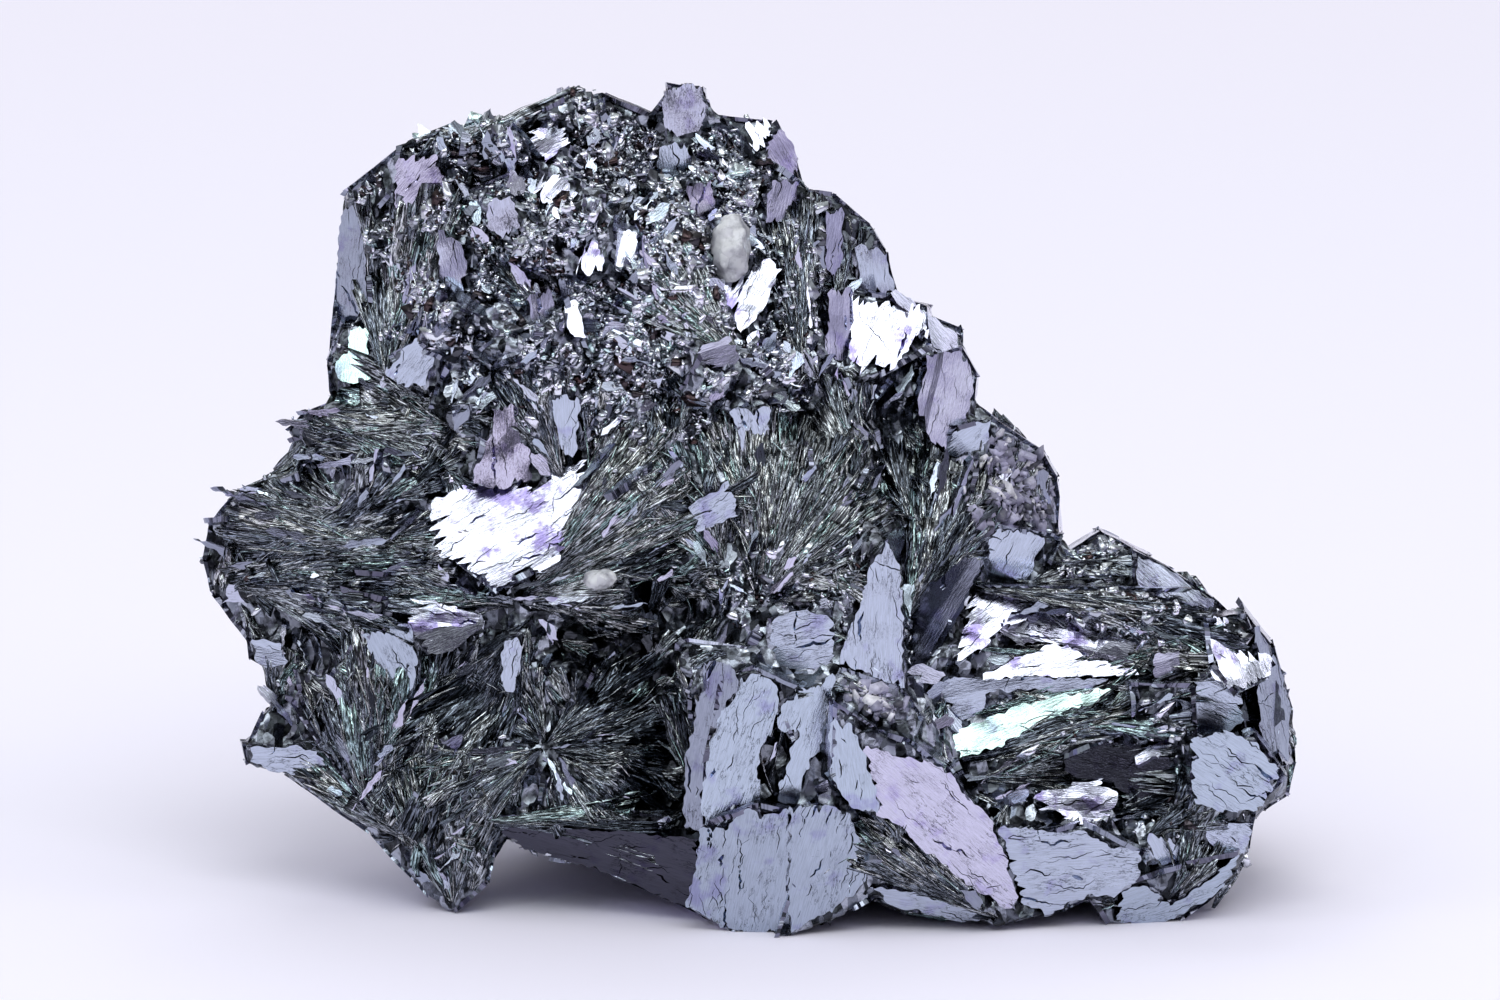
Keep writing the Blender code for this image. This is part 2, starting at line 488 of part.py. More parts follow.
def in_sheaf(sheaf, across, up):
    run, rise = sheaf.tip[0] - sheaf.apex[0], sheaf.tip[1] - sheaf.apex[1]
    across, up = across - sheaf.apex[0], up - sheaf.apex[1]
    bend = abs(math.atan2(run * up - rise * across, run * across + rise * up))
    return bend < math.radians(sheaf.half_angle) and math.hypot(across, up) < math.hypot(run, rise)


def taken(across, up):
    """Whether a named crystal covers this point of the face."""
    on_plate = any(encloses(plate.outline, across, up) for plate in PLATES.values())
    return on_plate or any(in_sheaf(sheaf, across, up) for sheaf in SHEAVES.values())


def spray_crystals(tree, chance):
    """Small fans at random on the face, wherever there is room between the named crystals."""
    mesh = bmesh.new()
    for _ in range(SPRAY_TRIES):
        across, up = chance.uniform(-52, 52), chance.uniform(4, 82)
        turn, reach, spread = chance.uniform(0, math.tau), chance.uniform(5, 11), chance.uniform(16, 36)
        ends = [turn + math.radians(spread) * lean for lean in (-0.7, 0, 0.7)]
        spots = [(across + reach * 0.7 * math.cos(end), up + reach * 0.7 * math.sin(end)) for end in ends]
        spots.append((across, up))
        if nearest_rim(across, up)[0] < 3 or not all(inside_outline(*spot) for spot in spots):
            continue
        if any(taken(*spot) for spot in spots):
            continue
        place, normal, _, _ = tree.ray_cast(Vector((across, up, 60)), Vector((0, 0, -1)))
        axis = Vector((math.cos(turn), math.sin(turn), 0))
        axis = (axis - normal * axis.dot(normal)).normalized()
        fan = Sheaf((), (), spread, chance.uniform(0.3, 1.2), chance.randint(3, 4))
        add_fan(mesh, place + normal * chance.uniform(0.4, 1.0), axis, normal, reach, fan, chance)
    return mesh


def back_crystals(tree, chance):
    """Plates and fans over the back and the flanks, met by rays that spread evenly from each centre."""
    mesh = bmesh.new()
    golden = math.pi * (3 - math.sqrt(5))
    for centre in BACK_CENTRES:
        for i in range(BACK_RAYS):
            out = 0.1 - 1.1 * (i + 0.5) / BACK_RAYS
            ring = math.sqrt(1 - out * out)
            ray = Vector((math.cos(golden * i) * ring, math.sin(golden * i) * ring, out))
            place, normal, _, _ = tree.ray_cast(Vector(centre) + ray * 120, -ray)
            if place is None or normal.z > 0.3:
                continue
            if i % FAN_EVERY == 0:
                add_back_fan(mesh, place, normal, chance)
            else:
                lean = Vector(chance.gauss(0, 0.2) for _ in range(3))
                raised = place + normal * chance.uniform(0.4, 1.8)
                add_tablet(mesh, raised, normal + lean, chance.uniform(8, 16), CRYSTAL_DEPTH, chance)
    return mesh


def add_back_fan(mesh, place, normal, chance):
    """A fan that lies along the back, centred on place."""
    axis = normal.orthogonal().normalized()
    axis.rotate(Matrix.Rotation(chance.uniform(0, math.tau), 3, normal))
    reach = chance.uniform(13, 18)
    apex = place + normal * 1.5 - axis * reach * 0.5
    if inside_outline(apex.x, apex.y) and nearest_rim(apex.x, apex.y)[0] > 3:
        fan = Sheaf((), (), chance.uniform(18, 32), 1.8, 5)
        add_fan(mesh, apex, axis, normal, reach, fan, chance)


def foot_mesh(chance):
    mesh = bmesh.new()
    add_lump(mesh, FOOT, chance)
    return mesh


def grain_mesh(grain, grow=0.0):
    """A stubby six-sided crystal with a blunt cap at each end, long along its middle radius."""
    mesh = bmesh.new()
    wide, tall, deep = (radius + grow for radius in grain.radii)
    rings = []
    for level, share in ((1.0, 0.42), (0.55, 0.86), (-0.1, 1.0), (-0.62, 0.8), (-1.0, 0.36)):
        ring = []
        for i in range(6):
            turn = math.tau * (i + 0.2 * level) / 6
            spoke = Vector((math.cos(turn) * wide * share, level * tall, -math.sin(turn) * deep * share))
            ring.append(Vector(grain.centre) + spoke)
        rings.append(ring)
    add_loft(mesh, rings)
    return mesh


def as_object(mesh, name):
    """A new object in the scene from a bmesh, which is freed."""
    data = bpy.data.meshes.new(name)
    bmesh.ops.recalc_face_normals(mesh, faces=mesh.faces[:])
    mesh.to_mesh(data)
    mesh.free()
    made = bpy.data.objects.new(name, data)
    bpy.context.scene.collection.objects.link(made)
    return made


def bake_modifiers(target):
    """Replaces the object's mesh with what its modifiers make of it."""
    graph = bpy.context.evaluated_depsgraph_get()
    result = bpy.data.meshes.new_from_object(target.evaluated_get(graph))
    target.modifiers.clear()
    target.data = result


def combine(target, other, operation):
    """Unites other with target, or cuts it away, and removes other."""
    modifier = target.modifiers.new(operation, "BOOLEAN")
    modifier.operation = operation
    modifier.solver = "EXACT"
    modifier.use_self = operation == "UNION"
    modifier.object = other
    bake_modifiers(target)
    bpy.data.objects.remove(other)


def edit_mesh(target, change):
    """Lets change work on a bmesh of the object, and writes the result back."""
    mesh = bmesh.new()
    mesh.from_mesh(target.data)
    change(mesh)
    mesh.to_mesh(target.data)
    mesh.free()


def clean_slivers(mesh):
    """Makes every face a triangle, and removes those too thin to have an area."""
    bmesh.ops.triangulate(mesh, faces=mesh.faces[:])
    bmesh.ops.dissolve_degenerate(mesh, dist=0.001, edges=mesh.edges[:])


def drop_strays(mesh):
    """Removes the edges that bound no face, which thinning leaves behind."""
    strays = [edge for edge in mesh.edges if not edge.link_faces]
    bmesh.ops.delete(mesh, geom=strays, context="EDGES")


def keep_largest(mesh):
    """Drops loose chips and sealed cavities, so that one closed skin is left."""
    unseen = set(mesh.verts)
    islands = []
    while unseen:
        front = [unseen.pop()]
        island = set(front)
        while front:
            for edge in front.pop().link_edges:
                for vertex in edge.verts:
                    if vertex in unseen:
                        unseen.discard(vertex)
                        island.add(vertex)
                        front.append(vertex)
        islands.append(island)
    largest = max(islands, key=len)
    loose = [vertex for island in islands if island is not largest for vertex in island]
    bmesh.ops.delete(mesh, geom=loose, context="VERTS")


def level_base(mesh):
    """Puts the corners of the cut base, which thinning may lift by a hair, back on the ground."""
    for vertex in mesh.verts:
        if vertex.co.z < 0.05:
            vertex.co.z = 0.0


def is_closed(data):
    mesh = bmesh.new()
    mesh.from_mesh(data)
    closed = all(len(edge.link_faces) == 2 for edge in mesh.edges)
    mesh.free()
    return closed


def thin_out(target, most):
    """Collapses the least needed edges, to the first count of triangles that leaves no pinched edge."""
    full = target.data
    for count in range(most, most - 400, -20):
        target.data = full.copy()
        modifier = target.modifiers.new("thin_out", "DECIMATE")
        modifier.ratio = count / len(full.polygons)
        bake_modifiers(target)
        edit_mesh(target, drop_strays)
        if is_closed(target.data):
            return


def stand(target):
    """Leans the face back and rests it on the ground, in millimetres."""
    lean, rise = math.sin(FACE_LEAN), math.cos(FACE_LEAN)
    upright = Matrix(((1, 0, 0, 0), (0, lean, -rise, 0), (0, rise, lean, -BASE_TRIM), (0, 0, 0, 1)))
    target.data.transform(upright)


def cut_base(target):
    """Cuts off flat what would reach below the ground."""
    mesh = bmesh.new()
    made = bmesh.ops.create_cube(mesh, size=1.0)
    for vertex in made["verts"]:
        vertex.co = Vector((vertex.co.x * 300, vertex.co.y * 300, (vertex.co.z - 0.5) * 60))
    combine(target, as_object(mesh, "ground"), "DIFFERENCE")


def footprint_centre(target):
    """The middle of the bounding box, on the ground."""
    places = [vertex.co for vertex in target.data.vertices]
    middle = [(min(p[i] for p in places) + max(p[i] for p in places)) / 2 for i in range(2)]
    return Vector((middle[0], middle[1], 0))


def material(name, colour, metallic, roughness):
    made = bpy.data.materials.new(name)
    made.use_nodes = True
    shader = made.node_tree.nodes["Principled BSDF"]
    shader.inputs["Base Color"].default_value = colour
    shader.inputs["Metallic"].default_value = metallic
    shader.inputs["Roughness"].default_value = roughness
    return made


def hematite_object(chance):
    """The whole mass with its sockets, standing on its cut base."""
    core = core_mesh(chance)
    tree = BVHTree.FromBMesh(core)
    mass = as_object(core, "hematite")
    combine(mass, as_object(foot_mesh(chance), "foot"), "UNION")
    combine(mass, as_object(back_crystals(tree, chance), "back"), "UNION")
    combine(mass, as_object(crushed_crystals(tree, chance), "crushed"), "UNION")
    combine(mass, as_object(spray_crystals(tree, chance), "sprays"), "UNION")
    combine(mass, as_object(face_crystals(chance), "face"), "UNION")
    for grain in GRAINS.values():
        combine(mass, as_object(grain_mesh(grain, SOCKET_GAP), "socket"), "DIFFERENCE")
    stand(mass)
    cut_base(mass)
    edit_mesh(mass, keep_largest)
    edit_mesh(mass, clean_slivers)
    thin_out(mass, MOST_FACES)
    edit_mesh(mass, level_base)
    return mass


def main():
    for old in list(bpy.data.objects):
        bpy.data.objects.remove(old)
    chance = random.Random(SEED)
    mass = hematite_object(chance)
    mass.data.materials.clear()
    mass.data.materials.append(material("hematite", HEMATITE_COLOUR, 1.0, 0.3))
    made = [mass]
    quartz = material("quartz", QUARTZ_COLOUR, 0.0, 0.35)
    for name, grain in GRAINS.items():
        crystal = as_object(grain_mesh(grain), name)
        stand(crystal)
        crystal.data.materials.append(quartz)
        made.append(crystal)
    to_origin = Matrix.Translation(-footprint_centre(mass))
    for thing in made:
        thing.data.transform(Matrix.Scale(METRES_PER_MM, 4) @ to_origin)


main()
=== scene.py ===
"""The looks of the hematite specimen: mirror plates, fans of fibres, crushed grains and two quartz grains.

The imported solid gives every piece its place. A place on the display face is (across, up, out) in
millimetres, as in the CAD, and everything is worked out in millimetres until a mesh is made.
"""

import math
import random
from typing import NamedTuple

import bmesh
import bpy
import numpy as np
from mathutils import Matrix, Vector, noise
from mathutils.bvhtree import BVHTree
from mathutils.geometry import delaunay_2d_cdt


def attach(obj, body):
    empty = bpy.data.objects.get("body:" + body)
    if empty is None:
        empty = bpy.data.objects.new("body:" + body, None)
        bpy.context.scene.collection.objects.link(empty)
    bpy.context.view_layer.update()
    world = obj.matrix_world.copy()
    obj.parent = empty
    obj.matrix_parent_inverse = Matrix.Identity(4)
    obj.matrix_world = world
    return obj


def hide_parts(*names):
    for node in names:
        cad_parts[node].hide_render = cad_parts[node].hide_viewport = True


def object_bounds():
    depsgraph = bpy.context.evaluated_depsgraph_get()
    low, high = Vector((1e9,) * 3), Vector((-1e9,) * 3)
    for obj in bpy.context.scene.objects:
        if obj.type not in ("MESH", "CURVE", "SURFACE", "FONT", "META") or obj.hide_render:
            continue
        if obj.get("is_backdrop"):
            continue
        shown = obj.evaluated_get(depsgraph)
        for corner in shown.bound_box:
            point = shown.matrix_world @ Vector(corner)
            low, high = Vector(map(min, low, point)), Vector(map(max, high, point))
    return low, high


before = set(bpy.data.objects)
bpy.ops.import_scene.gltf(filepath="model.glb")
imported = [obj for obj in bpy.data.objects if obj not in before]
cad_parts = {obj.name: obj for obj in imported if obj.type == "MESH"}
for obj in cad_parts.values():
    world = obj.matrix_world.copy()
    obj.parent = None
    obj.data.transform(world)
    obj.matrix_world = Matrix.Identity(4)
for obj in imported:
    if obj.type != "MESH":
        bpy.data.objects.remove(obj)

bpy.context.view_layer.update()
CAD_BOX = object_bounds()

SEED = 7
MM = 0.001
FACE_LEAN = math.radians(12)  # the display face leans back by this
FACE_ORIGIN = np.array((-0.217, -10.583, -4.4))  # where the face's place (0, 0, 0) lies
FACE_AXES = np.array((
    (1, 0, 0),
    (0, math.sin(FACE_LEAN), math.cos(FACE_LEAN)),
    (0, -math.cos(FACE_LEAN), math.sin(FACE_LEAN)),
))
ACROSS, UP, OUT = FACE_AXES

# The crust: the solid as one rough skin.
CRUST_CELL = 0.66
CRUST_ROUGH = 0.24  # how high its bumps are
CRUST_BUMPS = ((2.6, 0.0), (1.1, 5.0))  # how wide they are and where their noise starts
CRUST_SINK = 0.1  # how far it lies below the solid's own faces
RESTING = 0.8  # what lies lower than this isn't pushed out
SUNK = 0.45  # how far the crust lies below a named plate
SUNK_BACK = 0.15  # and below the other sheets
COVERED = 0.6  # what lies this near another sheet is covered by it
PROUD = 4.5  # what stands further in front of a named plate than this is left alone

# The mirror sheets: each is a bundle of thin crystals that lean a little their own way.
FLAT_WITHIN = math.radians(5)
LEAST_SHEET = 7.0  # mm2
LEAST_BREADTH = 0.16  # the least area of a sheet over the square of its length
SHEET_LIFT = 0.06
SHARP = 4  # degrees: two thin crystals that lean further apart meet in a sharp line
LAMELLA = (0.5, 2.2)  # how wide the thin crystals are
LAMELLA_STEP = 1.1  # between the points of their borders
LAMELLA_KEEPS = 0.4  # the share of its height that one hands on to the next
STRAYING = (0.35, 4.0)  # how far their borders stray, and over what length
SWELL_SIZE = 2.6  # how wide a sheet's waves are
EDGE_BUMPS = ((2.6, 0.0), (0.8, 3.0))  # how wide they are and where their noise starts
EDGE_BULGE = 0.3  # how far an edge may bulge past its inset
BROAD_TEETH = (2.7, 0.5)  # how many times as wide as the comb, and how many times as long
GRID_SHAKE = 0.4  # how far the points inside a sheet are shaken off their grid
UNDERCUT = 0.92  # how much smaller a sheet's under side is than its top
LEAST_CORNERS = 5  # an edge with fewer is left out
LEAST_FACES = 4  # and so is a sheet with fewer
NOISE_SPAN = 900  # the noise of each sheet starts somewhere in this
UV_SPAN = 300  # and the pattern of each sheet and fibre in this

# The cracks, in mm and radians.
CRACK_DEPTH = 0.35
CRACK_POINTS = (3, 14)
CRACK_HALF_WIDTH = (0.02, 0.075)
GAPING = (0.15, 3.0)  # the share of them that gape, and how many times as wide those are
CROSSING = (0.12, 0.6, 1.6)  # the share that leave the grain, and by how much
CRACK_TURN = 0.13  # the spread of the others about the grain
CRACK_BEND = 0.35  # the spread of their steps about their way


class Wear(NamedTuple):
    """How a kind of sheet is torn and cracked, in mm."""

    edge_step: float  # between the points of its edge
    inset: float  # of the edge from the outline
    tear: float  # how far the edge strays
    fray: float  # how long the teeth are where the edge cuts across the grain
    comb: float  # and how wide
    inside_step: float  # between the points inside
    cracks: float  # to a square mm
    crack_step: float  # between the points of a crack
    depth: float  # of its under side
    rim: float  # how bright its walls are, where its top is 1: partly the dark of a broken edge, partly painted shade in the gaps between sheets


NAMED_WEAR = Wear(
    edge_step=0.2, inset=-0.15, tear=0.4, fray=1.1, comb=0.42,
    inside_step=1.1, cracks=0.36, crack_step=0.4, depth=1.5, rim=0.1,
)
BRIGHT_WEAR = NAMED_WEAR._replace(fray=2.4, comb=0.34, inside_step=0.75, cracks=0.34)
BACK_WEAR = Wear(
    edge_step=0.44, inset=0.16, tear=0.6, fray=0.8, comb=0.8,
    inside_step=2.0, cracks=0.09, crack_step=0.6, depth=0.4, rim=0.3,
)
CHIP_WEAR = Wear(
    edge_step=0.35, inset=0.0, tear=0.3, fray=0.7, comb=0.5,
    inside_step=2.0, cracks=0.1, crack_step=0.4, depth=0.9, rim=0.3,
)

# The named plates of the display face, and the back sheets on the facets elsewhere.
PLATE_SAMPLES = (0.25, 0.5, 0.8)  # where the ground is looked for between a plate's middle and its outline
PLATE_AHEAD = 60  # how far in front of the face the look for it starts
PLATE_PERCENTILE = 70  # a plate lies higher than this many percent of what is found
PLATE_TURN = 0.12  # the spread of a named plate's grain about its long way, in radians
BACK_FACING = 0.3  # facets that face the front more than this have no sheet of their own
BASE_FACING = -0.9  # nor have those that face down
BACK_WAVES = (0.05, 0.12)  # the tilt and swell of a back sheet
BACK_TONES = (0.2, 0.85)

# The ways that small plates lean, as (share, yaw, its spread, pitch, its spread) in degrees.
LEANS = ((0.5, 0, 14, -13, 6), (0.2, 27, 8, -3, 6), (0.1, 0, 9, 20, 5), (0.2, 0, 12, 3, 4))
GLINTS = ((0.25, 0, 16, -13, 8), (0.15, 27, 8, -3, 6), (0.52, 0, 8, 21, 5), (0.08, 0, 12, 3, 4))


class Chips(NamedTuple):
    """A kind of small broken plate, in mm."""

    count: int  # how many are tried
    lowest: float  # the height above which they lie
    facing: float  # how squarely their ground must face the front, where 1 is square on
    length: tuple  # least and most
    slim: tuple  # width over length, least and most
    leans: tuple
    in_fans: float  # the share kept where fibres fan out
    elsewhere: float  # and where they don't


CHIPS = (
    Chips(760, 1.5, 0.2, (0.8, 4.2), (0.18, 0.6), LEANS, 0.2, 1.0),
    Chips(760, 50, 0.2, (0.9, 4.0), (0.2, 0.5), GLINTS, 0.5, 1.0),
    Chips(900, 1.5, 0.65, (2.4, 7.5), (0.08, 0.18), LEANS, 1.0, 0.0),
)

CHIP_FOLLOWS = 0.7  # a chip that would lean further from its ground than this follows the ground
CHIP_SPLAY = 0.25  # more or less
CHIP_LIFT = (0.1, 0.55)
CHIP_TURN = 0.2  # the spread of its grain about the fibres' way, in radians
CHIP_WAVES = (0.06, 0.1)
CHIP_CORNERS = 7
CHIP_RAGGED = (0.8, 1.15)
CHIP_TONES = (0.15, 0.9)
LEAST_CHIP = 0.3  # mm2

# How near a mirror sheet must be for these to be left out there.
CLEAR_OF_RIBBONS = 0.6
CLEAR_OF_CHIPS = 0.9
CLEAR_OF_GRAINS = 0.8
CLEAR_OF_REST = 0.5


class Habit(NamedTuple):
    """How the fibres of a kind lie in their fan, as shares of its reach unless they say mm or radians."""

    crowding: float  # the higher, the more of them start near the apex
    last_start: float
    last_end: float
    least: float  # length in mm
    length: tuple  # least and most
    bend: float  # the spread of how far they turn aside, in radians
    climb: float  # how steeply they climb steps of the ground, where 1 is 45 degrees


# The fibres: fluted ribbons, and loose needles on them.
RIBBON = Habit(1.2, 0.62, 1.0, 2.4, (0.35, 0.75), 0.07, 0.45)
RIBBON_STEPS = np.array((0.0, 0.25, 0.5, 0.75, 1.0))
RIBBON_COLUMNS = 11
RIBBON_WIDTH = (0.7, 1.5)  # over the size asked for
RIBBON_SPREAD = 0.5  # radians at most
RIBBON_THICK = 0.35
RIBBON_RAGGED = (-0.22, 0.12)  # how much longer or shorter its columns are
RIBBON_SHAKE = 0.3  # how far its columns stray aside, where 1 is about as far as the next
RIBBON_LIFT = (0.02, 0.4)
RIBBON_ROLL = 0.2  # the spread of how far it rolls to a side, in radians
RIBBON_BURY = np.array((-0.45, 0, 0.03, 0.05, -0.02))  # how far each row lies above the ground
RIBBON_UNEVEN = 0.04  # more or less
RIBBON_TAPER = np.array((0.0, 0.8, 1.0, 0.9, 0.6))  # how high its flutes are there
FLUTES = (0.15, 0.75)  # how high they are for how wide
RIBBON_TONES = 0.15  # the spread of their tones
RIBBONS_FRONT = 1860
RIBBONS_BACK = 900
NAMED_RIBBONS = (1.05, 1.2)  # how many are tried for each one wanted, and about how wide they are
SPRAYED_RIBBONS = (0.8, 0.9)
BACK_RIBBONS = (3, 2.2)
NEEDLE = Habit(1.0, 0.7, 1.02, 1.6, (0.2, 0.5), 0.12, 0.4)
NEEDLE_STEPS = np.array((0.0, 0.2, 0.5, 0.8, 1.0))
NEEDLE_TAPER = np.array((0.8, 1.0, 0.75))
NEEDLE_HALF_WIDTH = (0.05, 0.16)
NEEDLE_HEIGHT = (0.5, 1.1)  # over its half width
NEEDLE_LIFT = (0.15, 0.5)
NEEDLE_ROLL = 0.5
NEEDLE_TIPS = np.array((0.5, 0.25))  # how far its two tips are bent down
NEEDLE_PAINTED_GLINT = 0.25  # how much brighter than their fan: a painted glint
NEEDLE_TONES = 0.25
NEEDLES = 6000
NEEDLES_BACK = 1800
RIBBON_GLINT_SHARE = 0.24  # the share of the ribbons given a painted glint, so that they stand out from their fan
RIBBON_PAINTED_GLINT = 0.5  # and how much brighter it paints them

# The fans that aren't in the table, in mm and radians.
HALF_ANGLES = (0.15, 0.45)
FAN_SHADES = (0.1, 0.75)
FANS_SPRAYED = 400
FANS_BACK = 240
SPRAYED_REACH = (3.5, 8)
BACK_REACH = (6, 14)
LOOSE_FRONT = 0.45  # how loosely they keep to the fibres around them
LOOSE_BACK = 5.0

LEAST_HITS = 6  # a fan where the ground is met less often than this lies in the plane of the face
LEAST_LEAN = 0.75  # and so does one whose ground leans further than this
STRAY = 1.8  # how far a fibre may lie off the ground
AHEAD = 50  # how far in front of the face a look for the ground starts
LOWEST = 1.5  # the height above which loose pieces lie


class Plate(NamedTuple):
    """A mirror plate of the display face. yaw turns it right and pitch turns it up, in degrees."""

    yaw: float
    pitch: float
    tone: float
    outline: tuple
    tilt: float = 0.045
    swell: float = 0.12


BRIGHT = 0.66  # the tone of the plates that mirror the lamp
